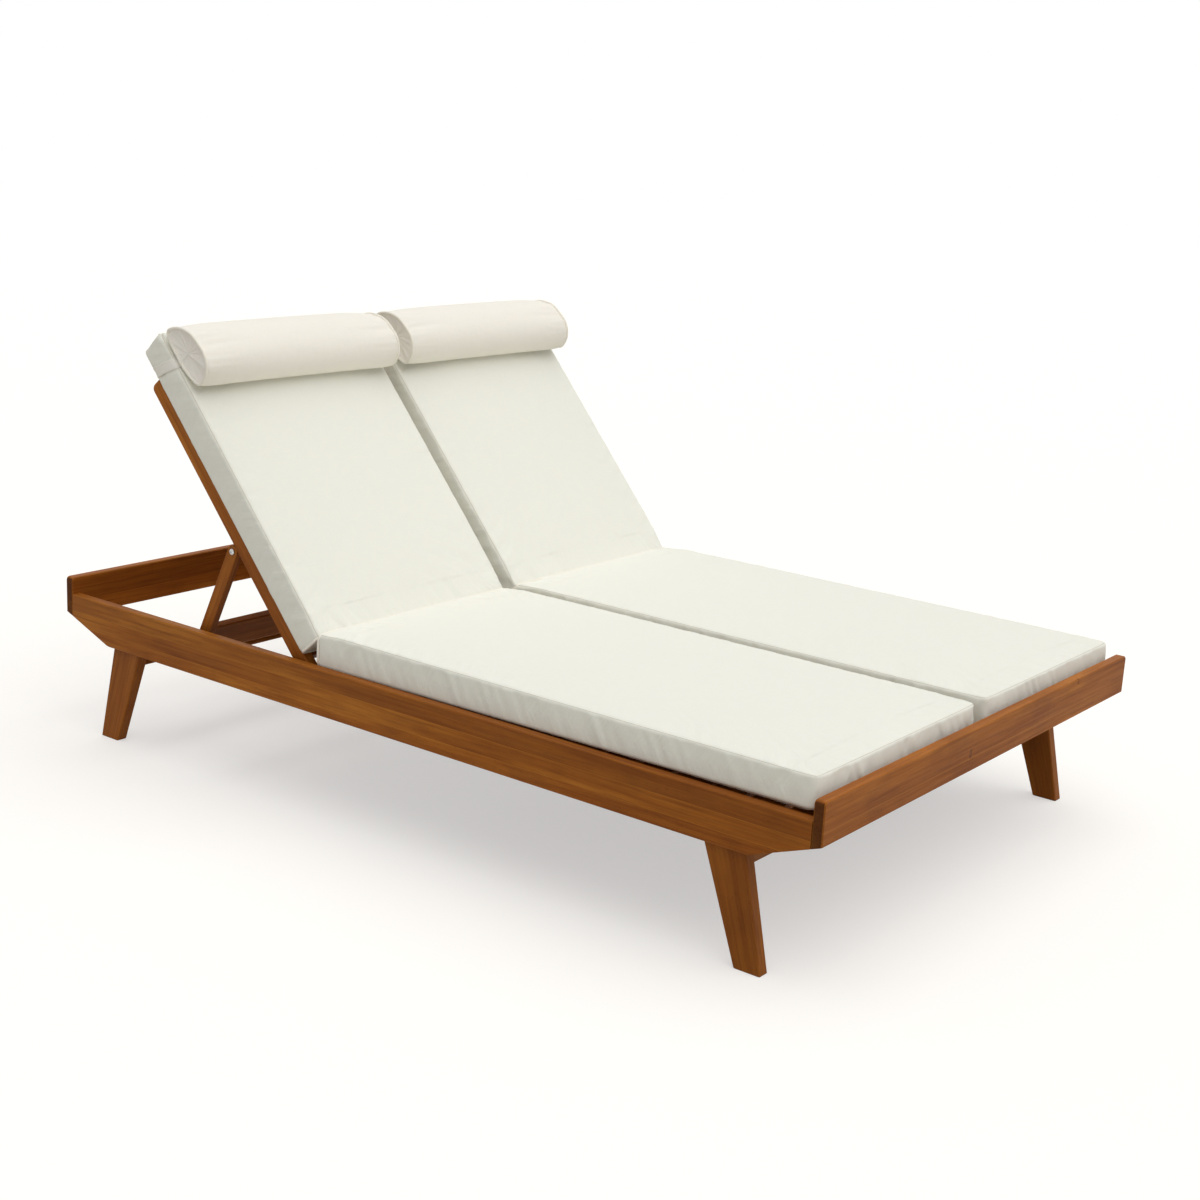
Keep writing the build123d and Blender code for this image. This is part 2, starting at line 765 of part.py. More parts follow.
def make_prop(side):
    """Swinging prop: two bars, a board between them and a foot rod through both."""
    for place in places:
        way = inward(side, place)
        with BuildPart() as bar:
            with BuildSketch(prop_plane(bar_near(side, place))):
                with Locations((prop_length / 2, 0)):
                    SlotCenterToCenter(prop_length, prop_width)
                Circle(bolt_radius + running_clearance, mode=Mode.SUBTRACT)
                with Locations((prop_length, 0)):
                    seat_radius = rod_radius + seat_clearance
                    RegularPolygon(seat_radius, recessed_side_count, major_radius=False, mode=Mode.SUBTRACT)
            extrude(amount=way * prop_thickness)
        save(bar.part, f"prop_bar_{side}_{place}")
    start = bar_near(side, "outer") + inward(side, "outer") * prop_thickness
    finish = bar_near(side, "inner") + inward(side, "inner") * prop_thickness
    with BuildPart() as board:
        with BuildSketch(prop_plane(start)):
            with Locations((foot_board_start, 0)):
                Rectangle(foot_board_width, foot_board_thickness, align=(Align.MIN, Align.CENTER))
        extrude(amount=finish - start)
        chamfer(board.edges().filter_by(Axis.X), length=timber_bevel)
    save(board.part, f"prop_board_{side}")
    start, finish = bar_near(side, "outer"), bar_near(side, "inner")
    with BuildPart() as rod:
        with BuildSketch(prop_plane(start)):
            with Locations((prop_length, 0)):
                Circle(rod_radius)
        extrude(amount=finish - start)
    save(rod.part, f"prop_rod_{side}")


def cushion_outline(half, low, high, rise):
    """Closed cushion section: flat below, crowned above, with swelling sides."""
    middle = (low + high) / 2
    Line((-half, low), (half, low))
    ThreePointArc((half, low), (half + cushion_swell, middle), (half, high))
    ThreePointArc((half, high), (0, high + rise), (-half, high))
    ThreePointArc((-half, high), (-half - cushion_swell, middle), (-half, low))


def swell_share(share):
    """How much of the crown a cushion has at a share of its length."""
    return crown_end_share + (1 - crown_end_share) * sin(pi * share)


def cushion_half(share):
    """Half the width between a cushion's seams at a share of its length."""
    return cushion_width / 2 - cushion_swell - cushion_draw_in * sin(pi * share)


def cushion_centre(side):
    """X of the middle of one side's cushions."""
    return sides[side] * (rail_inner - cushion_side_gap - cushion_width / 2)


def seat_section_plane(side, along):
    """Plane across a seat cushion at a distance from its foot end."""
    y = -board_inner + cushion_foot_gap + along
    origin = (cushion_centre(side), y, slat_top + rest_clearance)
    return Plane(origin=origin, x_dir=(-1, 0, 0), z_dir=(0, 1, 0))


def back_section_plane(side, along):
    """Plane across a back cushion at a distance from its lower end."""
    y, z = on_back(back_cushion_start + along, stile_half + rest_clearance)
    return Plane(origin=(cushion_centre(side), y, z), x_dir=(-1, 0, 0), z_dir=back_up)


def strap_place():
    """Distance from a back cushion's lower end to the strap's lower edge."""
    return back_cushion_length - strap_setback - strap_width


def make_cushion(name, plane_at, length, thickness, crown, strap_at):
    """Boxed cushion with a crown and drawn-in sides, and a groove for a strap."""
    last = cushion_station_count - 1
    stations = []
    for number in range(cushion_station_count):
        share = number / last
        along = cushion_swell + (length - cushion_swell * 2) * share
        stations.append((along, cushion_half(share), 0, thickness, crown * swell_share(share)))
    end_half = cushion_half(0) - cushion_end_inset
    end_high = thickness - cushion_end_rise
    end_rise = crown * crown_end_share
    lower_end = (0, end_half, cushion_end_rise, end_high, end_rise)
    upper_end = (length, end_half, cushion_end_rise, end_high, end_rise)
    with BuildPart() as cushion:
        for along, half, low, high, rise in [lower_end, *stations, upper_end]:
            with BuildSketch(plane_at(along)):
                with BuildLine():
                    cushion_outline(half, low, high, rise)
                make_face()
        loft(ruled=True)
        if strap_at is not None:
            share = strap_at / length
            depth = strap_thickness + rest_clearance
            half, rise = cushion_half(share) - depth, crown * swell_share(share)
            with BuildSketch(plane_at(strap_at - rest_clearance)):
                Rectangle(cushion_width + cut_overrun * 2, (thickness + crown + cut_overrun) * 2)
                with BuildLine():
                    cushion_outline(half, depth, thickness - depth, rise)
                make_face(mode=Mode.SUBTRACT)
            extrude(amount=strap_width + rest_clearance * 2, mode=Mode.SUBTRACT)
    save(cushion.part, name)


def make_roll_strap(side):
    """Flat band round the back cushion that holds the head roll."""
    share = strap_place() / back_cushion_length
    half, rise = cushion_half(share), back_cushion_crown * swell_share(share)
    inner_half = half - strap_thickness
    inner_high = back_cushion_thickness - strap_thickness
    with BuildPart() as strap:
        with BuildSketch(back_section_plane(side, strap_place())):
            with BuildLine():
                cushion_outline(half, 0, back_cushion_thickness, rise)
            make_face()
            with BuildLine():
                cushion_outline(inner_half, strap_thickness, inner_high, rise)
            make_face(mode=Mode.SUBTRACT)
        extrude(amount=strap_width)
    save(strap.part, f"head_roll_strap_{side}")


def make_head_roll(side):
    """Half-round pillow across the top of a back cushion, piped at both ends."""
    top_edge = back_cushion_start + back_cushion_length - head_roll_setback
    middle = top_edge - head_roll_width / 2
    share = (middle - back_cushion_start) / back_cushion_length
    cushion_rise = back_cushion_crown * swell_share(share)
    low = stile_half + rest_clearance * 2 + back_cushion_thickness + cushion_rise
    centre = cushion_centre(side)
    half = head_roll_length / 2
    seam = half - head_roll_end_swell
    shoulder = seam - head_roll_shoulder
    near_stations = [(-half, head_roll_tip_share), (-seam, head_roll_seam_share), (-shoulder, 1)]
    far_stations = [(-offset, fullness) for offset, fullness in reversed(near_stations)]
    with BuildPart() as roll:
        for offset, size_share in near_stations + far_stations:
            lift = head_roll_depth * (1 - size_share) / 2
            points = []
            for along_share, out_share in roll_outline_shares:
                along = middle + head_roll_width * along_share * size_share
                points.append((along, low + lift + head_roll_depth * out_share * size_share))
            with BuildSketch(back_plane(centre + offset)):
                with BuildLine():
                    ThreePointArc(points[0], points[1], points[2])
                    ThreePointArc(points[2], points[3], points[4])
                    ThreePointArc(points[4], points[5], points[0])
                make_face()
        loft(ruled=True)
    save(roll.part, f"head_roll_{side}")


def make_cushions(side):
    """Seat cushion, back cushion, head roll and strap of one side."""
    seat_length = hinge_y - cushion_fold_gap + board_inner - cushion_foot_gap
    make_cushion(
        f"seat_cushion_{side}",
        lambda along: seat_section_plane(side, along),
        seat_length,
        seat_cushion_thickness,
        seat_cushion_crown,
        None,
    )
    make_cushion(
        f"back_cushion_{side}",
        lambda along: back_section_plane(side, along),
        back_cushion_length,
        back_cushion_thickness,
        back_cushion_crown,
        strap_place(),
    )
    make_head_roll(side)
    make_roll_strap(side)


for each_end in ends:
    make_end_board(each_end)
    make_leg_tie(each_end)
    for each_side in sides:
        make_leg(each_end, each_side)

for each_side in sides:
    make_side_rail(each_side)
    make_hinge_rail(each_side)
    make_slat_ledger(each_side)
    for each_place in places:
        make_rack(each_side, each_place)
        make_back_stile(each_side, each_place)
    make_back_crosspieces(each_side)
    make_prop_cleats(each_side)
    make_prop_hardware(each_side)
    make_prop(each_side)
    make_cushions(each_side)

make_centre_beam()
make_frame_dowels()
make_seat_slats()
make_frame_bolts()
make_rack_screws()
make_pivot_spacers()
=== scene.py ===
from math import atan2, cos, pi, radians, sin

import bpy
import numpy as np
from mathutils import Euler, Matrix, Vector
from mathutils.bvhtree import BVHTree


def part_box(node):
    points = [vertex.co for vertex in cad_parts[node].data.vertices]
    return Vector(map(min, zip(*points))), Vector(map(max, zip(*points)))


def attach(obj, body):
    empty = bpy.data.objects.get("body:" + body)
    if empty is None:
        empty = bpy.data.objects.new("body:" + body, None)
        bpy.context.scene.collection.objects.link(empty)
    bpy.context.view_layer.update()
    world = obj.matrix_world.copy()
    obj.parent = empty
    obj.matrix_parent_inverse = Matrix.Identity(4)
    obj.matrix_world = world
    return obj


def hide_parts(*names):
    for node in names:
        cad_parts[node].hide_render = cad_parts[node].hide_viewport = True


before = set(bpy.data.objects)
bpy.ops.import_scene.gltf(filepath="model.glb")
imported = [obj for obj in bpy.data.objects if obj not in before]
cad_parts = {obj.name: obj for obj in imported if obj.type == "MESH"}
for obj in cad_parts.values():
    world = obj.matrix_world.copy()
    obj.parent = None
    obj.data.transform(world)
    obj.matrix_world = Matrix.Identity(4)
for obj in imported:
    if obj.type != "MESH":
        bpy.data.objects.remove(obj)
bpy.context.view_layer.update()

# Double chaise lounger: oiled acacia platform, two reclining backs, filled cushions,
# head rolls with piping and the straps that hold them. Lengths are in metres.
mm = 0.001
sides = {"left": -1, "right": 1}
least_reach = 1 * mm

# Camera of the photograph
camera_place = (-3.2206, -2.4493, 1.4492)
camera_azimuth = radians(36.8)
camera_dip = radians(14.64)
camera_roll = radians(3.11)
camera_lens = 56.7

# Timber directions and places
back_tilt = radians(49)
hinge_y = 256.5 * mm
hinge_z = 291 * mm
prop_tilt = radians(-65.3)
leg_tilt = radians(73.6)
rail_joint_heights = (280 * mm, 247 * mm)
board_joint_height = 300 * mm
slat_width = 65 * mm
slat_pitch = 79 * mm
back_slat_pitch = 81.875 * mm
foot_board_knots = (
    ((382 * mm, -1000 * mm, 352 * mm), 4 * mm),
    ((-97 * mm, -1000 * mm, 310 * mm), 5 * mm),
)
edge_round = 2.2 * mm
glue_line = (0.3 * mm, 0.9 * mm)
grain_depth = 0.35 * mm
# Painted light: the wood of the back stiles and of the head board is made lighter, standing in for
# light that falls on them
stile_lightness = 1.35
head_board_lightness = 1.3

# Growth rings, seen from a pith that lies beside each board
pith_place = (0.05, -0.06)
pith_sway = (0.05, 0.07)
rings_per_metre = 70
ring_ripple = 0.012
knot_swirl = 0.012
knot_rim_shares = (0.7, 1.2)
knot_reach_share = 4
board_spread = (9, 9, 9)

# Noise along, across and through the grain: its three scales, detail and roughness
grain_noises = (
    ((1.7, 5, 5), 2, 0.5),
    ((6, 70, 70), 3, 0.6),
    ((1.5, 18, 18), 3, 0.55),
    ((9, 16, 16), 2, 0.5),
    ((4, 190, 190), 4, 0.6),
    ((22, 900, 900), 2, 0.6),
    ((90, 1500, 1500), 1, 0.5),
)

# Cloth: thread spacings, the ditch along a seam, which is both dented and darkened as painted shade,
# the depth of its bumps, and how far light spreads in it
pad_thread = 0.75 * mm
piping_thread = 0.7 * mm
strap_thread = 1.1 * mm
ditch_dent_and_shade = (0.2 * mm, 1.6 * mm)
weave_depth = 0.12 * mm
wave_depth = 1.4 * mm
cloth_glow_reach = 5 * mm

# Seat and back pads. Each pad's own axes run across it, along it from its foot or
# lower end, and up out of its top
pad_width = 592 * mm
pad_middle = 312 * mm
seat_length = 1187 * mm
seat_thickness = 80 * mm
seat_foot = -968 * mm
seat_floor = 308.3 * mm
back_length = 753 * mm
back_thickness = 74 * mm
back_start = 33 * mm
back_floor = 17.3 * mm
pad_cell = 9.5 * mm
pad_rows = 8
pad_corner = 14 * mm
fold_corner = 5 * mm
pad_inset = 1 * mm
wall_swell = 2.5 * mm
edge_drop = 1.5 * mm
edge_reach = 45 * mm
foot_under_rise = 16 * mm
fold_under_rise = 3 * mm
back_under_rise = 0.5 * mm
under_reach = 34 * mm
pad_crown = 4 * mm
fold_drop = 5 * mm
fold_reach = 70 * mm
stuffing_steps = 20
stuffing_cap = 8 * mm
wall_cap = 3 * mm
seam_hold = 0.9
seam_depth = 1.0 * mm
seam_width = 3 * mm
seam_hold_reach = 9 * mm
pucker_height = 1.2 * mm
pucker_step = 12 * mm
pucker_reach = 20 * mm
pull_height = 1.8 * mm
pull_step = 24 * mm
pull_reach = 75 * mm
pull_slant = 0.5
corner_pull_reach = 230 * mm
away_pull_share = 0.35
wall_fold_height = 1.2 * mm
wall_fold_step = 14 * mm
wall_slack = 0.7
tuck_height = 2.6 * mm
tuck_reach = 40 * mm
tuck_count = 5
fold_piping_radius = 3.0 * mm
fold_piping_out = 1.8 * mm
fold_piping_corner_share = 0.45
piping_step_share = 1.2
piping_wobble_share = 0.05
piping_wobble_step_share = 4
piping_sides = 12
corner_fan = 60 * mm
topstitch_inset = 3 * mm

# Cloth under pressure from its stuffing
stuffed_cloth = {
    "quality": 5,
    "mass": 0.25,
    "tension_stiffness": 20,
    "compression_stiffness": 12,
    "shear_stiffness": 6,
    "bending_stiffness": 0.35,
    "vertex_group_mass": "held",
    "vertex_group_shrink": "gathered",
    "shrink_max": 0.05,
    "use_pressure": True,
    "uniform_pressure_force": 4.0,
}

# Head rolls
roll_length = 584 * mm
roll_width = 160 * mm
roll_depth = 77 * mm
roll_middle = 700 * mm
roll_floor = 94.5 * mm
roll_end_share = 0.95
roll_end_reach = 38 * mm
roll_recess = 4 * mm
roll_recess_share = 0.3
roll_cell = 6 * mm
roll_cap = 5 * mm
roll_end_hold = 0.8
roll_panel_hold = 0.4
roll_heart_share = 0.42
roll_flat_depth = 6 * mm
roll_pull_slant = 0.15
roll_seam_flatness = 0.7
roll_panel_pucker = 2.5
roll_pucker_step_share = 0.8
roll_pucker_reach_share = 1.3
roll_panel_shares = (0.94, 0.8, 0.6, 0.35, 0.14)
roll_piping_radius = 3.5 * mm
roll_piping_along_share = 0.4
roll_piping_out_share = 0.35
roll_arc_points = 90
roll_outline_shares = (
    (0.494, 0.108),
    (0.337, 0.695),
    (-0.05, 1.0),
    (-0.4, 0.794),
    (-0.476, 0.22),
    (0.06, 0.0),
)

# Where each cushion's own axes start
cushion_starts = {
    "seat": (seat_foot, seat_floor),
    "back": (back_start, back_floor),
    "roll": (roll_middle, roll_floor),
}

# Straps round the back pads
strap_width = 24 * mm
strap_thickness = 1.4 * mm
strap_front = 671 * mm
strap_rear = 691 * mm
strap_lift = 0.3 * mm
strap_dent = 1.5 * mm
strap_step = 5 * mm
strap_guide_share = 1.1
strap_rows = np.array([-0.5, -0.4, 0.0, 0.4, 0.5])

# Sewing thread
thread_width = 0.7 * mm
stitch_length = 3.4 * mm
stitch_pitch = 5 * mm
stitch_lift_share = 0.6

# Bolts and screws
turning_depth = 0.05 * mm
bolt_head_radius = 7 * mm
bolt_head_height = 4 * mm
bolt_drive = 3.0 * mm
bolt_drive_depth = 3.2 * mm
bolt_shank = 4 * mm
screw_head_radius = 4.4 * mm
screw_head_height = 0.5 * mm
screw_drive = 2.4 * mm
screw_drive_depth = 1.6 * mm
screw_shank = 2.2 * mm
screw_arm_share = 0.3
screw_stand = 0.15 * mm
slat_screw_inset = 10 * mm
beam_screw_offset = 10 * mm
slat_screw_length = 30 * mm
fastener_gap = 60 * mm
fastener_reach = bolt_head_radius * 1.3
fastener_wide_share = 0.9
head_sides = 48
head_chamfer_share = 0.94
head_dome_shares = (
    (0.45, 1.0),
    (0.7, 0.93),
    (0.86, 0.76),
    (0.96, 0.5),
    (1.0, 0.22),
    (0.985, 0.0),
)

# Floor and light. Each sun gives its azimuth, height, power and spread
floor_size = 40.0
floor_colour = (0.55, 0.53, 0.49, 1)
floor_lift = 0.5
surround_light = 0.4
suns = {
    "key": (-75, 73, 1.88, 85),
    "fill": (190, 35, 0.05, 60),
}


def new_object(name, data):
    """New object in the scene."""
    made = bpy.data.objects.new(name, data)
    bpy.context.scene.collection.objects.link(made)
    return made


def make_camera():
    """Camera at the photograph's viewing angle, made before anything else."""
    data = bpy.data.cameras.new("photo_camera")
    data.lens = camera_lens
    data.sensor_width = 36
    data.dof.use_dof = False
    camera = new_object("photo_camera", data)
    turn = Matrix.Rotation(camera_azimuth - pi / 2, 4, "Z")
    dip = Matrix.Rotation(pi / 2 - camera_dip, 4, "X")
    roll = Matrix.Rotation(camera_roll, 4, "Z")
    camera.matrix_world = Matrix.Translation(camera_place) @ turn @ dip @ roll
    bpy.context.scene.camera = camera


make_camera()
bpy.context.scene.view_settings.view_transform = "Standard"


def maths(operation, flipped=False):
    """Method that adds one Math node, in which the socket comes first, or last."""

    def method(self, *others):
        values = (*others, self) if flipped else (self, *others)
        return self.finish.node("Math", {"operation": operation}, dict(enumerate(values)))

    return method


class Socket:
    """Output of a shader node, so that shader maths reads as Python."""

    __add__, __radd__ = maths("ADD"), maths("ADD", flipped=True)
    __sub__, __rsub__ = maths("SUBTRACT"), maths("SUBTRACT", flipped=True)
    __mul__, __rmul__ = maths("MULTIPLY"), maths("MULTIPLY", flipped=True)
    __truediv__, __gt__, larger = maths("DIVIDE"), maths("GREATER_THAN"), maths("MAXIMUM")
    absolute, floor, fraction = maths("ABSOLUTE"), maths("FLOOR"), maths("FRACT")
    root, sine = maths("SQRT"), maths("SINE")

    def __init__(self, finish, socket):
        self.finish = finish
        self.socket = socket

    def between(self, low, high):
        """0 below low, 1 above high, and a smooth step between them."""
        settings = {"interpolation_type": "SMOOTHSTEP"}
        values = {"Value": self, "From Min": low, "From Max": high}
        return self.finish.node("MapRange", settings, values)


class Finish:
    """Node material, or the nodes of the world, in the making."""

    def __init__(self, name, kind="materials", shader="Principled BSDF"):
        self.owner = getattr(bpy.data, kind).new(name)
        self.owner.use_nodes = True
        self.tree = self.owner.node_tree
        self.shader = self.tree.nodes[shader]

    def feed(self, target, value):
        """Link a socket to another's output, or set its value."""
        if isinstance(value, Socket):
            self.tree.links.new(value.socket, target)
        else:
            target.default_value = value

    def node(self, kind, settings=None, values=None, output=0):
        """New shader node with its settings made first, then its sockets fed."""
        made = self.tree.nodes.new(f"ShaderNode{kind}")
        for name, value in (settings or {}).items():
            setattr(made, name, value)
        for name, value in (values or {}).items():
            self.feed(made.inputs[name], value)
        return Socket(self, made.outputs[output])

    def mix(self, share, low, high, blend="MIX"):
        """Mix two colours."""
        settings = {"data_type": "RGBA", "blend_type": blend}
        return self.node("Mix", settings, {0: share, 6: low, 7: high}, 2)

    def vector(self, operation, *values, output=0):
        """Vector maths."""
        return self.node("VectorMath", {"operation": operation}, dict(enumerate(values)), output)

    def noise(self, place, scale, detail=2.0, roughness=0.5):
        """Noise on a place whose axes are first stretched by three scales."""
        stretched = self.vector("MULTIPLY", place, scale)
        values = {"Vector": stretched, "Scale": 1.0, "Detail": detail, "Roughness": roughness}
        return self.node("TexNoise", None, values, "Fac")

    def kept(self, name):
        """A value kept at the points of the piece."""
        return self.node("Attribute", {"attribute_name": name}, output="Fac")

    def parts(self, place):
        """The three parts of a vector."""
        return [self.node("SeparateXYZ", None, {0: place}, axis) for axis in range(3)]

    def bump(self, strength, distance, height, **more):
        """Normal of a surface with a height on it."""
        values = {"Strength": strength, "Distance": distance, "Height": height, **more}
        return self.node("Bump", None, values)

    def seen(self):
        """1 to the camera and in reflections, and 0 for the light on the object."""
        seen = self.node("LightPath", output="Is Camera Ray")
        for kind in ("Glossy", "Transmission"):
            seen = seen.larger(self.node("LightPath", output=f"Is {kind} Ray"))
        return seen

    def set(self, **values):
        """Feed the shader's sockets. Underlines stand for the spaces in their names."""
        for name, value in values.items():
            self.feed(self.shader.inputs[name.replace("_", " ")], value)
        return self.owner


def rgb(red, green, blue):
    """Colour as it looks on screen, from 0 to 255, turned into light."""
    shares = [value / 255 for value in (red, green, blue)]
    light = [s / 12.92 if s <= 0.04045 else ((s + 0.055) / 1.055) ** 2.4 for s in shares]
    return (*light, 1)


acacia_tones = {
    "pale": rgb(190, 121, 42),
    "light": rgb(160, 93, 25),
    "middle": rgb(136, 73, 16),
    "dark": rgb(98, 48, 9),
    "line": rgb(54, 24, 6),
}
beech_tones = {
    "pale": rgb(222, 190, 146),
    "light": rgb(212, 176, 130),
    "middle": rgb(202, 164, 118),
    "dark": rgb(184, 144, 98),
    "line": rgb(150, 112, 72),
}


def timber(name, seed, turn, boards=None, joints=(), knots=(), tones=acacia_tones, lightness=1.0):
    """Oiled wood with its grain along one direction. The turn brings that direction onto
    X. Boards give the axis, start and pitch of separate boards, and joints the heights of
    glue lines. Each board has its own figure and tone. The lightness lifts the whole colour as painted
    light, and the rounded edges carry a painted highlight."""
    finish = Finish(name)
    place = finish.node("TexCoord", output="Object")
    grain = finish.node("Mapping", None, {"Vector": place, "Rotation": turn})
    own = finish.parts(place)
    number, glue, swirl, knot_mask = seed * 1.0, 0.0, 0.0, 0.0
    if boards:
        axis, start, pitch = boards
        number = ((own[axis] - start) / pitch).floor() + seed
    for height in joints:
        number = (own[2] > height) + number
        glue = 1 - (own[2] - height).absolute().between(*glue_line) + glue
    random = {"noise_dimensions": "1D"}
    shift = finish.node("TexWhiteNoise", random, {"W": number}, "Color")
    tone = finish.node("TexWhiteNoise", random, {"W": number}, "Value")
    grain = finish.vector("ADD", grain, finish.vector("MULTIPLY", shift, board_spread))
    for spot, size in knots:
        away = finish.vector("MULTIPLY", finish.vector("SUBTRACT", place, spot), (1, 1, 0.5))
        gap = finish.vector("LENGTH", away, output="Value")
        inner, outer = (size * share for share in knot_rim_shares)
        knot_mask = gap.between(0, inner) * (1 - gap.between(inner, outer)) + knot_mask
        swirl = (1 - gap.between(0, size * knot_reach_share)) * knot_swirl + swirl

    noises = [finish.noise(grain, *noise) for noise in grain_noises]
    sway, ripple, broad, ribbon, streak, fibre, pore = noises
    pore = pore.between(0.66, 0.74)
    _, across, deep = finish.parts(grain)
    pith_across = across - pith_place[0] + (sway - 0.5) * pith_sway[0]
    pith_deep = deep - pith_place[1] + (sway - 0.5) * pith_sway[1]
    far = (pith_across * pith_across + pith_deep * pith_deep).root()
    ring = ((far + (ripple - 0.5) * ring_ripple + swirl) * rings_per_metre).fraction()
    late = ring.between(0.35, 0.86) * (1 - ring.between(0.9, 1.0))
    layers = (
        (broad.between(0.3, 0.7), "light"),
        (broad.between(0.52, 0.72) * 0.6, "pale"),
        (ribbon.between(0.45, 0.75) * 0.35, "dark"),
        (late * (0.04 + ripple * 0.28), "dark"),
        (streak.between(0.5, 0.75) * 0.3, "dark"),
        (streak.between(0.6, 0.35) * 0.18, "pale"),
        (fibre.between(0.45, 0.75) * 0.22, "line"),
        (pore * 0.45, "line"),
    )
    colour = tones["middle"]
    for share, layer in layers:
        colour = finish.mix(share, colour, tones[layer])
    # The tone differs at random from board to board; the lightness on top of it is painted light
    shade = (0.84 + tone * 0.3) * lightness
    grey = finish.node("CombineColor", None, {0: shade, 1: shade, 2: shade})
    colour = finish.mix(1.0, colour, grey, "MULTIPLY")
    if knots:
        colour = finish.mix(knot_mask * 0.6, colour, tones["line"])
    if joints:
        colour = finish.mix(glue * 0.45, colour, tones["pale"])

    facing = finish.node("TexCoord", output="Normal")
    grain_way = Euler(turn).to_matrix().inverted() @ Vector((1, 0, 0))
    end_grain = finish.vector("DOT_PRODUCT", facing, tuple(grain_way), output="Value")
    end_grain = end_grain.absolute().between(0.6, 0.9)
    colour = finish.mix(end_grain * 0.78, colour, tones["line"])
    # Painted highlight: the rounded edges are made paler where light would catch them, and a little
    # less rough
    soft_normal = finish.node("Bevel", {"samples": 4}, {"Radius": edge_round})
    true_normal = finish.node("NewGeometry", output="Normal")
    edge = 1 - finish.vector("DOT_PRODUCT", soft_normal, true_normal, output="Value")
    painted_edge_highlight = edge.between(0.01, 0.16) * (0.35 + streak * 0.9)
    colour = finish.mix(painted_edge_highlight * 0.5, colour, tones["pale"])

    height = fibre * 0.4 - pore * 0.9 - late * 0.25 + streak * 0.3
    bump = finish.bump(0.35, grain_depth, height, Normal=soft_normal)
    rough = 0.46 + streak * 0.16 + pore * 0.2 + end_grain * 0.2 - painted_edge_highlight * 0.05
    return finish.set(Base_Color=colour, Roughness=rough, Normal=bump, Specular_IOR_Level=0.15)


def cloth(name, light, shade, thread, twill=False, seams=False, pulls=False):
    """Woven outdoor cloth on the piece's own UV map, which is in metres. The hollows between threads
    and the ditch along a seam are darkened as painted shade.
    """
    finish = Finish(name)
    place = finish.node("UVMap", {"uv_map": "cloth"})
    threads = finish.vector("MULTIPLY", place, (1 / thread, 1 / thread, 0))
    across, along, _ = finish.parts(threads)
    if twill:
        over = ((across + along * 0.5) * pi).sine().between(-0.2, 0.2)
    else:
        over = finish.node("TexChecker", None, {"Vector": threads, "Scale": 1.0}, "Fac")
    warp, weft = ((way * pi).sine().absolute() for way in (across, along))
    weave = warp * over + weft * (1 - over)
    slub_across = finish.noise(place, (25, 1400, 1), 2)
    slub_along = finish.noise(place, (1400, 25, 1), 2)
    slub = slub_across * over + slub_along * (1 - over)
    blotch = finish.noise(place, (9, 9, 1), 3, 0.6)
    colour = finish.mix(slub.between(0.25, 0.75) * 0.6, shade, light)
    # Painted shade in the hollows between the threads: the colour goes halfway to the darker tone there
    colour = finish.mix(weave.between(0.0, 0.6) * 0.5 + 0.5, shade, colour)
    colour = finish.mix(blotch.between(0.45, 0.8) * 0.2, colour, shade)
    height = weave * 0.6 + slub * 0.5
    wave = finish.noise(place, (60, 60, 1), 3, 0.55)
    if seams:
        gap = finish.kept("seam_gap")
        # Painted shade in the ditch along a seam, which is also dented in the bump
        deep = 1 - gap.between(*ditch_dent_and_shade)
        colour = finish.mix(deep * 0.6, colour, rgb(186, 174, 150))
        height = height - deep * 2
    if pulls:
        along_seam = finish.kept("seam_run") + gap * 0.5
        across_seam = finish.node("CombineXYZ", None, {0: along_seam, 1: gap, 2: 0.0})
        pull = finish.noise(across_seam, (75, 14, 1), 2, 0.5)
        wave = wave * 0.6 + pull * finish.kept("slack") * 3.2
    fine = finish.bump(0.5, weave_depth, height)
    return finish.set(
        Base_Color=colour,
        Roughness=0.82 + slub * 0.14,
        Normal=finish.bump(0.5, wave_depth, wave, Normal=fine),
        Specular_IOR_Level=0.25,
        Subsurface_Weight=0.12,
        Subsurface_Radius=(1.0, 0.85, 0.6),
        Subsurface_Scale=cloth_glow_reach,
        Sheen_Weight=0.12,
        Sheen_Roughness=0.6,
    )


def steel(name, light, rough):
    """Stainless steel with fine turning marks and a little grime."""
    finish = Finish(name)
    place = finish.node("TexCoord", output="Object")
    marks = finish.noise(place, (2600, 700, 700), 2)
    grime = finish.noise(place, (160, 160, 160), 3)
    colour = finish.mix(grime.between(0.35, 0.75), light, rgb(150, 150, 150))
    bump = finish.bump(0.2, turning_depth, marks)
    rough = rough + marks * 0.14 + grime * 0.1
    return finish.set(Base_Color=colour, Metallic=1.0, Roughness=rough, Normal=bump)


def thread_finish():
    """Matt twisted sewing thread."""
    finish = Finish("sewing_thread")
    place = finish.node("TexCoord", output="Object")
    twist = finish.noise(place, (1800, 1800, 1800), 1)
    colour = finish.mix(twist.between(0.3, 0.7), rgb(214, 206, 186), rgb(242, 236, 220))
    return finish.set(Base_Color=colour, Roughness=0.7 + twist * 0.2)


pad_cloth = cloth(
    "pad_cloth", rgb(248, 248, 238), rgb(238, 237, 225), pad_thread, seams=True, pulls=True
)
roll_cloth = cloth("roll_cloth", rgb(252, 248, 238), rgb(244, 238, 226), pad_thread, seams=True)
# The end panels get a lighter copy of the roll's cloth, as painted light on panels that stand in shade
roll_end_cloth = cloth(
    "roll_end_cloth", rgb(254, 250, 243), rgb(246, 240, 230), pad_thread, seams=True
)
piping_cloth = cloth(
    "piping_cloth", rgb(252, 248, 238), rgb(244, 238, 224), piping_thread, twill=True
)
strap_cloth = cloth(
    "strap_cloth", rgb(252, 249, 240), rgb(243, 238, 226), strap_thread, twill=True
)
bolt_steel = steel("bolt_steel", rgb(206, 206, 206), 0.24)
sewing_thread = thread_finish()

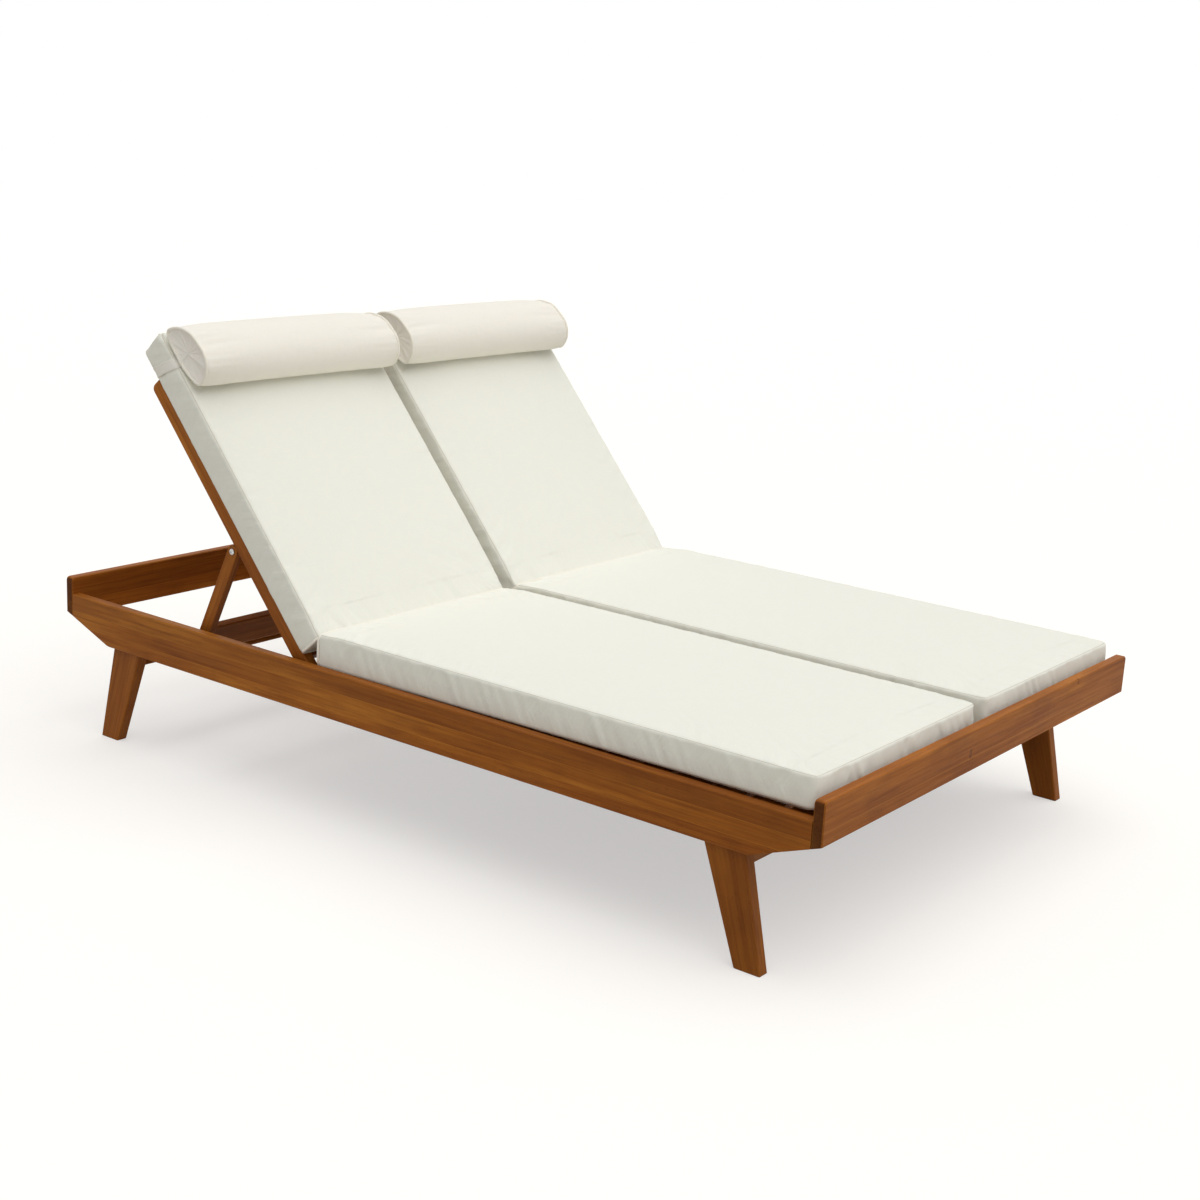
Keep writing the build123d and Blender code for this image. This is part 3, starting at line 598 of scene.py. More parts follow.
# Each plain board's grain, as the turn that brings it onto X. {} stands for a side
grain_across = (0, 0, 0)
grain_along = (0, 0, -pi / 2)
grain_back = (-back_tilt, 0, -pi / 2)
plain_boards = {
    grain_across: ("leg_tie_foot", "leg_tie_head", "hinge_rail_{}", "back_bottom_rail_{}")
    + ("back_top_rail_{}", "prop_board_{}"),
    grain_along: ("centre_beam", "slat_ledger_{}", "prop_rack_{}_outer", "prop_rack_{}_inner"),
    grain_back: ("prop_cleats_{}", "back_stile_{}_outer", "back_stile_{}_inner"),
    (-prop_tilt, 0, -pi / 2): ("prop_bar_{}_outer", "prop_bar_{}_inner"),
    (-leg_tilt, 0, -pi / 2): ("leg_foot_{}",),
    (leg_tilt, 0, -pi / 2): ("leg_head_{}",),
}


def dress(node, seed, turn, wood="acacia", **more):
    """Give a timber node its own piece of wood."""
    finish = timber(f"{wood}_{node}", seed, turn, **more)
    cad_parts[node].material_slots[0].material = finish


def dress_frame():
    """Finish every timber and steel node."""
    turns = {
        name.format(side): turn
        for turn, names in plain_boards.items()
        for name in names
        for side in sides
    }
    for number, (node, turn) in enumerate(sorted(turns.items())):
        # The stiles get painted light: their wood is made lighter
        lightness = stile_lightness if "stile" in node else 1.0
        dress(node, number * 3 + 11, turn, lightness=lightness)
    for number, side in enumerate(sides):
        dress(f"side_rail_{side}", 203 + number * 5, grain_along, joints=rail_joint_heights)
        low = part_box(f"back_slats_{side}")[0]
        boards = (2, low[2], back_slat_pitch * sin(back_tilt))
        dress(f"back_slats_{side}", 301 + number * 9, grain_across, boards=boards)
        dress(f"prop_rod_{side}", 401 + number, grain_across)
    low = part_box("seat_slats")[0]
    boards = (1, low[1] - (slat_pitch - slat_width) / 2, slat_pitch)
    dress("seat_slats", 501, grain_across, boards=boards)
    joints = (board_joint_height,)
    dress("foot_board", 611, grain_across, joints=joints, knots=foot_board_knots)
    # The head board gets painted light: its wood is made lighter
    dress("head_board", 617, grain_across, joints=joints, lightness=head_board_lightness)
    dress("frame_dowels", 701, grain_along, wood="beech", tones=beech_tones)
    for node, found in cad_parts.items():
        if any(word in node for word in ("bolts", "screws", "washers", "nuts", "spacers")):
            found.material_slots[0].material = bolt_steel


dress_frame()


def ease(share):
    """Smooth step from 0 to 1."""
    share = np.clip(share, 0, 1)
    return share * share * (3 - 2 * share)


def fade(distance, reach):
    """1 at no distance, falling away over a reach."""
    return np.exp(-distance / reach)


def bell(distance, width):
    """1 at no distance, falling away on both sides over a width."""
    return np.exp(-((distance / width) ** 2))


def unit(rows):
    """Vectors made one long."""
    return rows / np.linalg.norm(rows, axis=-1, keepdims=True)


def way_along(path, axis=0):
    """From the point before to the point after, at each point of a closed path."""
    return np.roll(path, -1, axis) - np.roll(path, 1, axis)


def keep_above(points, low=0):
    """Lift the points that are lower than a height."""
    points[..., 2] = np.maximum(points[..., 2], low)
    return points


def wander(length, step, seed):
    """Smooth random line that closes after a length. Returns a function of the
    distance along it, with values of about -1 to 1."""
    count = max(4, int(round(length / step)))
    knots = np.random.default_rng(seed).normal(0, 0.6, count)

    def value(distance):
        place = np.asarray(distance) / length * count
        low = np.floor(place).astype(int)
        share = ease(place - low)
        return knots[low % count] * (1 - share) + knots[(low + 1) % count] * share

    return value


def add_object(name, points, edges, faces):
    """New object in place, from points, edges and faces."""
    mesh = bpy.data.meshes.new(name)
    mesh.from_pydata([tuple(point) for point in points], edges, [tuple(face) for face in faces])
    return new_object(name, mesh)


def write_uv(mesh, uv):
    """Lay the cloth on a mesh, with a place in metres for each face corner."""
    layer = mesh.uv_layers.new(name="cloth")
    layer.data.foreach_set("uv", uv.astype(np.float32).ravel())


def make_piece(name, points, faces, material, uv=None):
    """New piece with smooth faces and an optional UV for each corner."""
    piece = add_object(name, points, [], faces)
    mesh = piece.data
    if uv is not None:
        write_uv(mesh, uv)
    mesh.shade_smooth()
    mesh.materials.append(material)
    return piece


def read_rows(values, name, width=3):
    """A value of each item, as rows of numbers."""
    found = np.zeros(len(values) * width, np.float32)
    values.foreach_get(name, found)
    return found.reshape(-1, width).astype(float)


def read_points(mesh):
    """The points of a mesh, as rows."""
    return read_rows(mesh.vertices, "co")


def write_points(mesh, points):
    """Move a mesh's points."""
    mesh.vertices.foreach_set("co", np.asarray(points, np.float32).ravel())
    mesh.update()


def press_out(mesh, height):
    """Move each point of a mesh out by a height, and none below the mesh's own floor."""
    out = read_rows(mesh.vertex_normals, "vector")
    write_points(mesh, keep_above(read_points(mesh) + out * height[:, None]))


def modified(piece):
    """The piece as its modifiers make it."""
    return piece.evaluated_get(bpy.context.evaluated_depsgraph_get())


def bake_modifiers(piece):
    """Turn a piece with modifiers into a plain mesh."""
    mesh = bpy.data.meshes.new_from_object(modified(piece))
    piece.modifiers.clear()
    piece.data = mesh
    return piece


def stuff(piece, held, gathered, cap):
    """Fill a piece as its stuffing does: cloth under pressure from inside. Held points
    stay, the cloth along the seams is gathered, and no point moves past the cap."""
    before = read_points(piece.data)
    for name, weights in (("held", held), ("gathered", gathered)):
        group = piece.vertex_groups.new(name=name)
        for number in np.flatnonzero(weights > 0):
            group.add([int(number)], float(weights[number]), "REPLACE")
    modifier = piece.modifiers.new("stuffing", "CLOTH")
    for name, value in stuffed_cloth.items():
        setattr(modifier.settings, name, value)
    modifier.settings.effector_weights.gravity = 0
    modifier.point_cache.frame_start = 1
    modifier.point_cache.frame_end = stuffing_steps
    for step in range(1, stuffing_steps + 1):
        bpy.context.scene.frame_set(step)
    after = read_points(modified(piece).data)
    piece.modifiers.clear()
    bpy.context.scene.frame_set(1)
    move = after - before
    reach = np.linalg.norm(move, axis=1, keepdims=True) + 1e-9
    write_points(piece.data, before + move * np.tanh(reach / cap) * cap / reach)


def bands(rings, closed=False):
    """Faces between rings of point numbers, one after another. A closed row of rings
    also joins its last ring to its first."""
    nexts = [*rings[1:], rings[0]] if closed else rings[1:]
    faces = []
    for low, high in zip(rings, nexts):
        faces += zip(low, np.roll(low, -1), np.roll(high, -1), high)
    return faces


def pad_shell(width, length, thickness, under_rises, fold_at):
    """Boxed pad as one closed grid: points, faces, rings of point numbers from its top
    seam to its bottom one, and their places in the grid. The top dips towards the end at
    the fold."""
    across, along = int(round(width / pad_cell)), int(round(length / pad_cell))
    half, half_length = width / 2 - pad_inset, length / 2 - pad_inset
    u, v = np.meshgrid(
        np.linspace(-half, half, across + 1),
        np.linspace(-half_length, half_length, along + 1),
        indexing="ij",
    )
    edge = np.minimum(half - abs(u), half_length - abs(v))
    corner = np.where(abs(v + length / 2 - fold_at) < length / 2, fold_corner, pad_corner)
    over_u = np.maximum(abs(u) - half + pad_corner, 0) / pad_corner
    over_v = np.maximum(abs(v) - half_length + pad_corner, 0) / pad_corner
    u = u - np.sign(u) * over_u * corner * (1 - np.sqrt(1 - over_v**2 / 2))
    v = v - np.sign(v) * over_v * corner * (1 - np.sqrt(1 - over_u**2 / 2))
    v = v + length / 2
    dome = (1 - (u / half) ** 2) * (1 - (v * 2 / length - 1) ** 4)
    top = thickness - edge_drop * (1 - ease(edge / edge_reach)) + pad_crown * dome
    top -= fold_drop * (1 - ease(abs(v - fold_at) / fold_reach))
    under_rise = under_rises[0] + (under_rises[1] - under_rises[0]) * v / length
    under = under_rise * (1 - ease(edge / under_reach))
    loop = [(i, 0) for i in range(across)] + [(across, j) for j in range(along)]
    loop += [(i, along) for i in range(across, 0, -1)] + [(0, j) for j in range(along, 0, -1)]
    number = np.arange((across + 1) * (along + 1)).reshape(across + 1, along + 1)
    flat = number.size
    steps = tuple(np.transpose(loop))
    top_seam, high, low = number[steps], top[steps], under[steps]
    rim = np.column_stack([u[steps], v[steps]])
    way = way_along(rim)
    out = unit(np.stack([way[:, 1], -way[:, 0]], 1))
    points = [np.stack([u, v, z], 2).reshape(-1, 3) for z in (top, under)]
    rings = [top_seam]
    for row in range(1, pad_rows):
        share = row / pad_rows
        wall = rim + out * wall_swell * sin(pi * share)
        points.append(np.column_stack([wall, high * (1 - share) + low * share]))
        rings.append(flat * 2 + (row - 1) * len(loop) + np.arange(len(loop)))
    rings.append(top_seam + flat)
    faces = []
    for i in range(across):
        for j in range(along):
            corners = [number[i, j], number[i + 1, j], number[i + 1, j + 1], number[i, j + 1]]
            faces.append(corners)
            faces.append([corner + flat for corner in reversed(corners)])
    for upper, lower in zip(rings[:-1], rings[1:]):
        faces += bands([lower, upper])
    return np.concatenate(points), faces, rings, loop


def perimeter_run(rest, width, length):
    """Distance of each point along a pad's outline, and the outline's length."""
    middle = length / 2
    straight_u, straight_v = width / 2 - corner_fan, middle - corner_fan
    u, v = rest[:, 0], rest[:, 1] - middle
    over_u, over_v = np.maximum(abs(u) - straight_u, 0), np.maximum(abs(v) - straight_v, 0)
    turn = np.arctan2(over_v, over_u)
    run = np.minimum(abs(v), straight_v) + corner_fan * turn
    run = run + straight_u - np.minimum(abs(u), straight_u)
    half_way = (straight_u + straight_v + corner_fan * pi / 2) * 2
    run = np.where(u * v < 0, half_way - run, run)
    return np.where(v < 0, run + half_way, run), half_way * 2


def add_attribute(mesh, name, values):
    """Store a value, or three, at every point of a mesh."""
    kind, field = ("FLOAT", "value") if values.ndim == 1 else ("FLOAT_VECTOR", "vector")
    attribute = mesh.attributes.get(name) or mesh.attributes.new(name, kind, "POINT")
    attribute.data.foreach_set(field, values.astype(np.float32).ravel())


def take_attribute(mesh, name):
    """Read a stored value back and drop it from the mesh."""
    attribute = mesh.attributes[name]
    if attribute.data_type == "FLOAT":
        values = read_rows(attribute.data, "value", 1)[:, 0]
    else:
        values = read_rows(attribute.data, "vector")
    mesh.attributes.remove(attribute)
    return values


def corner_numbers(mesh):
    """Point number of every face corner of an all-quad mesh, four to a row."""
    corners = np.zeros(len(mesh.loops), int)
    mesh.loops.foreach_get("vertex_index", corners)
    return corners.reshape(-1, 4)


def unroll(uv, axis, around):
    """Carry each face that crosses the join of a closed run past its end."""
    late = uv[:, :, axis].max(1, keepdims=True) - uv[:, :, axis] > around / 2
    uv[:, :, axis] += late * around
    return uv


def lay_cloth(mesh, flat_places, wall_places, on_wall, around):
    """Write the cloth's UV map in metres. Wall faces unroll round the outline."""
    corners = corner_numbers(mesh)
    wall = unroll(wall_places[corners], 0, around)
    write_uv(mesh, np.where(on_wall[:, None, None], wall, flat_places[corners]))


def refine(piece, kept):
    """One level of subdivision, so that the cloth reads smooth close to. Returns the kept
    values, carried over to the new points."""
    for name, values in kept.items():
        add_attribute(piece.data, name, values)
    modifier = piece.modifiers.new("smooth", "SUBSURF")
    modifier.levels = 1
    modifier.render_levels = 1
    bake_modifiers(piece)
    return [take_attribute(piece.data, name) for name in kept]


def pad_wrinkles(rest, length, tall, top_gap, low_gap, run, around, seed):
    """How far each point of a pad stands in or out: gathers along both seams, long
    pulls into the top, and folds down the walls. Also how slack the cloth is."""
    near = np.minimum(top_gap, low_gap)
    slant = run + pull_slant * top_gap
    end_gap = length / 2 - abs(rest[:, 1] - length / 2)
    from_corner = np.hypot(pad_width / 2 - abs(rest[:, 0]), end_gap)
    cornered = away_pull_share + bell(from_corner, corner_pull_reach)
    pulled = fade(top_gap, pull_reach) * cornered
    height = wander(around, pucker_step, seed)(run) * fade(near, pucker_reach) * pucker_height
    pull = wander(around, pull_step, seed + 1)(slant)
    pull += wander(around, pull_step / 2, seed + 2)(slant) / 2
    height += pull * pulled * pull_height
    walls = (top_gap < tall) & (low_gap < tall)
    fold = wander(around, wall_fold_step, seed + 3)(run + low_gap * pull_slant)
    height += np.where(walls, fold * wall_fold_height, 0)
    height *= 1 - fade(near, seam_hold_reach)
    slack = np.where(walls, wall_slack, pulled)
    return height - bell(near, seam_width) * seam_depth, slack


def corner_tucks(rest, half, end, top):
    """Folds that fan out from the two upper corners, where the cover is folded over."""
    height = np.zeros(len(rest))
    for sign in (-1, 1):
        away = rest - np.array((sign * half, end, top))
        reach = np.linalg.norm(away, axis=1)
        turn = np.arctan2(away[:, 2], -sign * away[:, 0])
        turn += np.arctan2(away[:, 1], reach + least_reach)
        folds = np.sin(turn * tuck_count * 2) * bell(reach, tuck_reach)
        height += folds * tuck_height * (1 - fade(reach, seam_width * 2))
    return height


def strap_along(out, thickness):
    """Where along a back pad the strap runs, from its underside to its top."""
    return strap_rear + (strap_front - strap_rear) * np.clip(out / thickness, 0, 1)


def make_pad(name, length, thickness, seed, is_back):
    """One filled pad, still lying flat on its own axes, with its seam loops."""
    under_rises = (back_under_rise,) * 2 if is_back else (foot_under_rise, fold_under_rise)
    fold_at = 0 if is_back else length
    half, top = pad_width / 2 - pad_inset, thickness - edge_drop
    points, faces, rings, loop = pad_shell(pad_width, length, thickness, under_rises, fold_at)
    piece = make_piece(name, points, faces, pad_cloth)
    tall = top - sum(under_rises) / 2
    end_edge = length / 2 - pad_inset - abs(points[:, 1] - length / 2)
    edge = np.maximum(np.minimum(half - abs(points[:, 0]), end_edge), 0)
    flat = (len(points) - (len(rings) - 2) * len(loop)) // 2
    under = slice(flat, flat * 2)
    top_gap, low_gap = edge.copy(), edge + tall
    top_gap[under], low_gap[under] = edge[under] + tall, edge[under]
    for row, ring in enumerate(rings):
        top_gap[ring] = tall * row / pad_rows
        low_gap[ring] = tall * (pad_rows - row) / pad_rows
    held = np.zeros(len(points))
    held[under] = 1
    held[rings[0]] = seam_hold
    gathered = fade(np.minimum(top_gap, low_gap), pucker_reach)
    gathered[under] = 0
    cap = np.full((len(points), 1), stuffing_cap)
    cap[flat * 2 :] = wall_cap
    stuff(piece, held, gathered, cap)
    kept = {"rest": points, "top_gap": top_gap, "low_gap": low_gap}
    rest, top_gap, low_gap = refine(piece, kept)
    mesh = piece.data
    run, around = perimeter_run(rest, pad_width, length)
    end = rest[:, 1].max()
    height, slack = pad_wrinkles(rest, end, tall, top_gap, low_gap, run, around, seed)
    if is_back:
        height += corner_tucks(rest, half, length - pad_inset, top)
        strap_gap = rest[:, 1] - strap_along(rest[:, 2], thickness)
        height -= bell(strap_gap, strap_width) ** 2 * strap_dent
    press_out(mesh, height)
    corners = corner_numbers(mesh)
    on_wall = (low_gap[corners].mean(1) < tall) & (top_gap[corners].mean(1) < tall)
    lay_cloth(mesh, rest[:, :2], np.column_stack([run, low_gap]), on_wall, around)
    # The seam gap also reaches along the fold corners, so that the painted shade of the ditch runs down
    # them too
    corner_gap = np.hypot(half - abs(rest[:, 0]), rest[:, 1] - fold_at)
    add_attribute(mesh, "seam_gap", np.minimum(np.minimum(top_gap, low_gap), corner_gap))
    add_attribute(mesh, "seam_run", run)
    add_attribute(mesh, "slack", slack)
    return piece, rings, loop


def resample(path, step, count=None):
    """Even points round a closed path, and its length."""
    closed = np.vstack([path, path[:1]])
    steps = np.linalg.norm(np.diff(closed, axis=0), axis=1)
    reach = np.concatenate([[0], np.cumsum(steps)])
    count = count or int(round(reach[-1] / step))
    places = np.linspace(0, reach[-1], count, endpoint=False)
    even = [np.interp(places, reach, closed[:, axis]) for axis in range(3)]
    return np.column_stack(even), reach[-1]


def relax(path, rounds):
    """Smooth a closed path a little, as sewing pulls it straight."""
    for _ in range(rounds):
        path = (np.roll(path, 1, 0) + path * 2 + np.roll(path, -1, 0)) / 4
    return path


def facing_out(points, faces):
    """The faces, turned over if they enclose a negative volume."""
    corners = np.array([face[:3] for face in faces])
    first, second, third = (points[corners[:, k]] for k in range(3))
    turned = np.einsum("ij,ij->i", first, np.cross(second, third)).sum() < 0
    return [face[::-1] for face in faces] if turned else faces


def make_tube(name, rings, around, across, material, girth=None):
    """Closed tube of cloth from rings of points. Around is its length, and across gives
    the places of a ring's points. If these close too, girth is the whole way round."""
    count, corners = rings.shape[:2]
    points = rings.reshape(-1, 3)
    numbers = np.arange(len(points)).reshape(count, corners)
    faces = facing_out(points, bands(numbers, closed=True))
    run = np.arange(count) / count * around
    places = np.column_stack([np.repeat(run, corners), np.tile(across, count)])
    uv = unroll(places[np.array(faces)], 0, around)
    return make_piece(name, points, faces, material, unroll(uv, 1, girth) if girth else uv)


def make_piping(name, path, radius, seed):
    """Cord covered in cloth, sewn along a closed seam."""
    path, around = resample(relax(path, 2), radius * piping_step_share)
    spokes = path - path.mean(0)
    across = unit(np.cross(np.roll(spokes, -1, 0), spokes).sum(0))
    ahead = unit(way_along(path))
    out = unit(np.cross(ahead, across))
    up = np.cross(out, ahead)
    run = np.linspace(0, around, len(path), endpoint=False)
    wobble = wander(around, radius * piping_wobble_step_share, seed)(run)
    girth = radius * (1 + piping_wobble_share * wobble)
    turn = np.arange(piping_sides) / piping_sides * 2 * pi
    rings = out[:, None, :] * np.cos(turn)[None, :, None]
    rings += up[:, None, :] * np.sin(turn)[None, :, None]
    rings = path[:, None, :] + rings * girth[:, None, None]
    return make_tube(name, rings, around, turn * radius, piping_cloth, 2 * pi * radius)


def arc(first, middle, last):
    """Even points on the arc through three points, without the last."""
    rows = np.array([first, middle, last], float)
    centre = np.linalg.solve((rows[1:] - rows[0]) * 2, (rows[1:] ** 2 - rows[0] ** 2).sum(1))
    start, through, finish = (atan2(y, x) for x, y in rows - centre)
    sweep, part = (finish - start) % (2 * pi), (through - start) % (2 * pi)
    if part > sweep:
        sweep -= 2 * pi
    turn = start + sweep * np.arange(roll_arc_points) / roll_arc_points
    radius = np.linalg.norm(rows[0] - centre)
    return centre + radius * np.column_stack([np.cos(turn), np.sin(turn)])


def roll_outline():
    """The roll's cross-section from its middle, evenly spaced, with soft corners."""
    spots = [(along * roll_width, out * roll_depth) for along, out in roll_outline_shares]
    spots.append(spots[0])
    path = np.concatenate([arc(*spots[start : start + 3]) for start in (0, 2, 4)])
    path, around = resample(np.insert(path, 2, 0, axis=1), roll_cell)
    return relax(path, 1)[:, :2], around


def make_roll(name, seed):
    """One filled head roll, on its own axes: across, up the back and out of it. Returns
    it with the loops of its two end seams."""
    outline, around = roll_outline()
    count = len(outline)
    length = roll_length - roll_piping_radius * 2
    stations = np.linspace(-length / 2, length / 2, int(round(length / roll_cell)) + 1)
    heart = np.array([0, roll_depth * roll_heart_share])
    points, end_gap, rings = [], [], []

    def add_points(station, places, gap):
        """Add points in one plane across the roll. Returns their numbers."""
        start = sum(len(part) for part in points)
        points.append(np.column_stack([np.full(len(places), station), places]))
        end_gap.append(np.full(len(places), gap))
        return start + np.arange(len(places))

    for station in stations:
        gap = length / 2 - abs(station)
        bulge = np.sqrt(np.clip(1 - (1 - min(gap / roll_end_reach, 1)) ** 2, 0, 1))
        size = roll_end_share + (1 - roll_end_share) * bulge
        rings.append(add_points(station, heart + (outline - heart) * size, gap))
    faces = bands(rings)
    end_face = len(faces)
    for edge, sign in ((rings[0], -1), (rings[-1], 1)):
        panel = [edge]
        for share in roll_panel_shares:
            depth = roll_recess * ease((1 - share) / roll_recess_share)
            ring = heart + (outline - heart) * roll_end_share * share
            station = sign * (length / 2 - depth)
            panel.append(add_points(station, ring, (1 - share) * roll_depth / 2))
        hub = add_points(sign * (length / 2 - roll_recess), heart[None], roll_depth / 2)[0]
        start, end_faces = panel[-1][0], bands(panel)
        for here in range(0, count, 2):
            end_faces.append([*(start + (here + step) % count for step in range(3)), hub])
        faces += end_faces if sign > 0 else [face[::-1] for face in end_faces]
    points, end_gap = np.concatenate(points), np.concatenate(end_gap)
    faces = facing_out(points, faces)
    piece = make_piece(name, points, faces, roll_cloth)
    # The end panels take the lighter copy of the cloth, which is painted light
    piece.data.materials.append(roll_end_cloth)
    for number, polygon in enumerate(piece.data.polygons):
        polygon.material_index = int(number >= end_face)
    body = np.arange(len(points)) < len(stations) * count
    held = np.where(end_gap < least_reach, roll_end_hold, 0.0)
    held[body & (points[:, 2] < roll_flat_depth)] = 1.0
    held[~body] = roll_panel_hold
    stuff(piece, held, fade(end_gap, pucker_reach), roll_cap)
    kept = {"rest": points, "end_gap": end_gap, "body": body.astype(float)}
    rest, end_gap, body = refine(piece, kept)
    mesh = piece.data
    centre = rest[:, 1:] - heart
    run = (np.arctan2(centre[:, 1], centre[:, 0]) / (2 * pi) % 1) * around
    height = wander(around, pucker_step * roll_pucker_step_share, seed)(run) * pucker_height
    height *= fade(end_gap, pucker_reach * roll_pucker_reach_share)
    height *= np.where(body < 0.5, roll_panel_pucker, 1)
    pull = wander(around, pull_step, seed + 5)(run + rest[:, 0] * roll_pull_slant)
    height += pull * fade(end_gap, pull_reach) * pull_height
    height *= 1 - fade(end_gap, seam_width) * roll_seam_flatness
    height -= bell(end_gap, seam_width) * seam_depth
    press_out(mesh, height)
    on_wall = body[corner_numbers(mesh)].mean(1) > 0.99
    lay_cloth(mesh, rest[:, 1:], np.column_stack([run, rest[:, 0]]), on_wall, around)
    add_attribute(mesh, "seam_gap", end_gap)
    return piece, [rings[0], rings[-1]]


def in_place(kind, side, points):
    """Points of a cushion, from its own axes to the shared frame. The axes of a back pad
    and a head roll lean with the back."""
    along, out = cushion_starts[kind]
    points = np.asarray(points) + (sides[side] * pad_middle, along, out)
    if kind == "seat":
        return points
    across, along, out = points.T
    y = hinge_y + along * cos(back_tilt) - out * sin(back_tilt)
    z = hinge_z + along * sin(back_tilt) + out * cos(back_tilt)
    return np.column_stack([across, y, z])


def node_group(name, inputs):
    """Empty geometry tree with named inputs. Returns the tree, the sockets of its inputs
    and a function that adds a node and gives back one of its outputs."""
    tree = bpy.data.node_groups.new(name, "GeometryNodeTree")
    for label, kind in inputs.items():
        socket_type = f"NodeSocket{kind}"
        tree.interface.new_socket(label, in_out="INPUT", socket_type=socket_type)
    tree.interface.new_socket("Geometry", in_out="OUTPUT", socket_type="NodeSocketGeometry")
    given = tree.nodes.new("NodeGroupInput").outputs

    def add(kind, settings=None, values=None, output=0):
        node = tree.nodes.new(kind)
        for key, value in (settings or {}).items():
            setattr(node, key, value)
        for key, value in (values or {}).items():
            for item in value if isinstance(value, list) else [value]:
                if isinstance(item, bpy.types.NodeSocket):
                    tree.links.new(item, node.inputs[key])
                else:
                    node.inputs[key].default_value = item
        return node.outputs[output] if node.outputs else None

    return tree, given, add


def stitch_tree():
    """Stitches of thread laid end to end along a path."""
    inputs = {
        "Path": "Geometry",
        "Pitch": "Float",
        "Stitch length": "Float",
        "Thread width": "Float",
        "Seed": "Int",
        "Thread": "Material",
    }
    tree, given, add = node_group("stitches_along_a_seam", inputs)
    curve = add("GeometryNodeMeshToCurve", None, {"Mesh": given["Path"]})
    spacing = {"Curve": curve, "Length": given["Pitch"]}
    even = add("GeometryNodeResampleCurve", {"mode": "LENGTH"}, spacing)
    ahead = add("GeometryNodeInputTangent")
    turned = add("FunctionNodeAlignRotationToVector", {"axis": "X"}, {"Vector": ahead})
    length, width = (
        add("ShaderNodeMath", {"operation": "MULTIPLY"}, {0: given[size], 1: 0.5})
        for size in ("Stitch length", "Thread width")
    )
    size = add("ShaderNodeCombineXYZ", None, {0: length, 1: width, 2: width})
    bead = add("GeometryNodeMeshUVSphere", None, {"Segments": 6, "Rings": 4, "Radius": 1.0})
    stitch = add("GeometryNodeTransform", None, {"Geometry": bead, "Scale": size})
    scales = {2: 0.85, 3: 1.1, "Seed": given["Seed"]}
    loose = add("FunctionNodeRandomValue", {"data_type": "FLOAT"}, scales, 1)
    laid = {"Points": even, "Instance": stitch, "Rotation": turned, "Scale": loose}
    placed = add("GeometryNodeInstanceOnPoints", None, laid)
    real = add("GeometryNodeRealizeInstances", None, {0: placed})
    soft = add("GeometryNodeSetShadeSmooth", None, {0: real})
    sewn = add("GeometryNodeSetMaterial", None, {0: soft, "Material": given["Thread"]})
    add("NodeGroupOutput", None, {0: sewn})
    return tree


def fastener_tree():
    """Bolts or screws on points that say which way they face and how long they are."""
    inputs = {
        "Points": "Geometry",
        "Head": "Object",
        "Shank radius": "Float",
        "Seed": "Int",
        "Metal": "Material",
    }
    tree, given, add = node_group("fasteners_on_points", inputs)
    facing, shank = (
        add("GeometryNodeInputNamedAttribute", {"data_type": kind}, {"Name": name})
        for kind, name in (("FLOAT_VECTOR", "facing"), ("FLOAT", "shank"))
    )
    turned = add("FunctionNodeAlignRotationToVector", {"axis": "Z"}, {"Vector": facing})
    turns = {2: 0.0, 3: 2 * pi, "Seed": given["Seed"]}
    spin = add("FunctionNodeRandomValue", {"data_type": "FLOAT"}, turns, 1)
    spin = add("ShaderNodeCombineXYZ", None, {2: spin})
    spin = add("FunctionNodeEulerToRotation", None, {0: spin})
    both = add("FunctionNodeRotateRotation", {"rotation_space": "LOCAL"}, {0: turned, 1: spin})
    head = add("GeometryNodeObjectInfo", None, {"Object": given["Head"]}, "Geometry")
    spots = given["Points"]
    placed = {"Points": spots, "Instance": head, "Rotation": both}
    heads = add("GeometryNodeInstanceOnPoints", None, placed)
    sizes = {"Vertices": 24, "Radius": given["Shank radius"], "Depth": 1.0}
    rod = add("GeometryNodeMeshCylinder", None, sizes)
    rod = add("GeometryNodeTransform", None, {"Geometry": rod, "Translation": (0, 0, -0.5)})
    long_way = add("ShaderNodeCombineXYZ", None, {0: 1.0, 1: 1.0, 2: shank})
    placed = {"Points": spots, "Instance": rod, "Rotation": turned, "Scale": long_way}
    rods = add("GeometryNodeInstanceOnPoints", None, placed)
    joined = add("GeometryNodeJoinGeometry", None, {0: [heads, rods]})
    real = add("GeometryNodeRealizeInstances", None, {0: joined})
    metal = add("GeometryNodeSetMaterial", None, {0: real, "Material": given["Metal"]})
    add("NodeGroupOutput", None, {0: metal})
    return tree


stitches_on_path = stitch_tree()
fasteners_on_points = fastener_tree()


def grow(piece, tree, inputs):
    """Run a geometry tree on a piece and keep the result as its plain mesh."""
    modifier = piece.modifiers.new(tree.name, "NODES")
    modifier.node_group = tree
    named = {item.name: item.identifier for item in tree.interface.items_tree}
    for name, value in inputs.items():
        modifier[named[name]] = value
    return bake_modifiers(piece)


def make_stitches(name, paths, body, seed):
    """Rows of stitches along closed paths, as one piece that rides on one body."""
    edges, start = [], 0
    for path in paths:
        count = len(path)
        edges += [(start + here, start + (here + 1) % count) for here in range(count)]
        start += count
    piece = add_object(name, np.concatenate(paths), edges, [])
    inputs = {
        "Pitch": stitch_pitch,
        "Stitch length": stitch_length,
        "Thread width": thread_width,
        "Seed": seed,
        "Thread": sewing_thread,
    }
    grow(piece, stitches_on_path, inputs)
    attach(piece, body)


def six_sided(size):
    """Outline of a six-sided socket, as its radius in each direction."""
    return lambda turn: size / cos((turn + pi / 6) % (pi / 3) - pi / 6)


def crossed(size):
    """Outline of a cross-shaped recess, as its radius in each direction."""
    arm = size * screw_arm_share

    def radius(turn):
        flat, upright = abs(cos(turn)) + 1e-6, abs(sin(turn)) + 1e-6
        return max(min(size / flat, arm / upright), min(size / upright, arm / flat))

    return radius


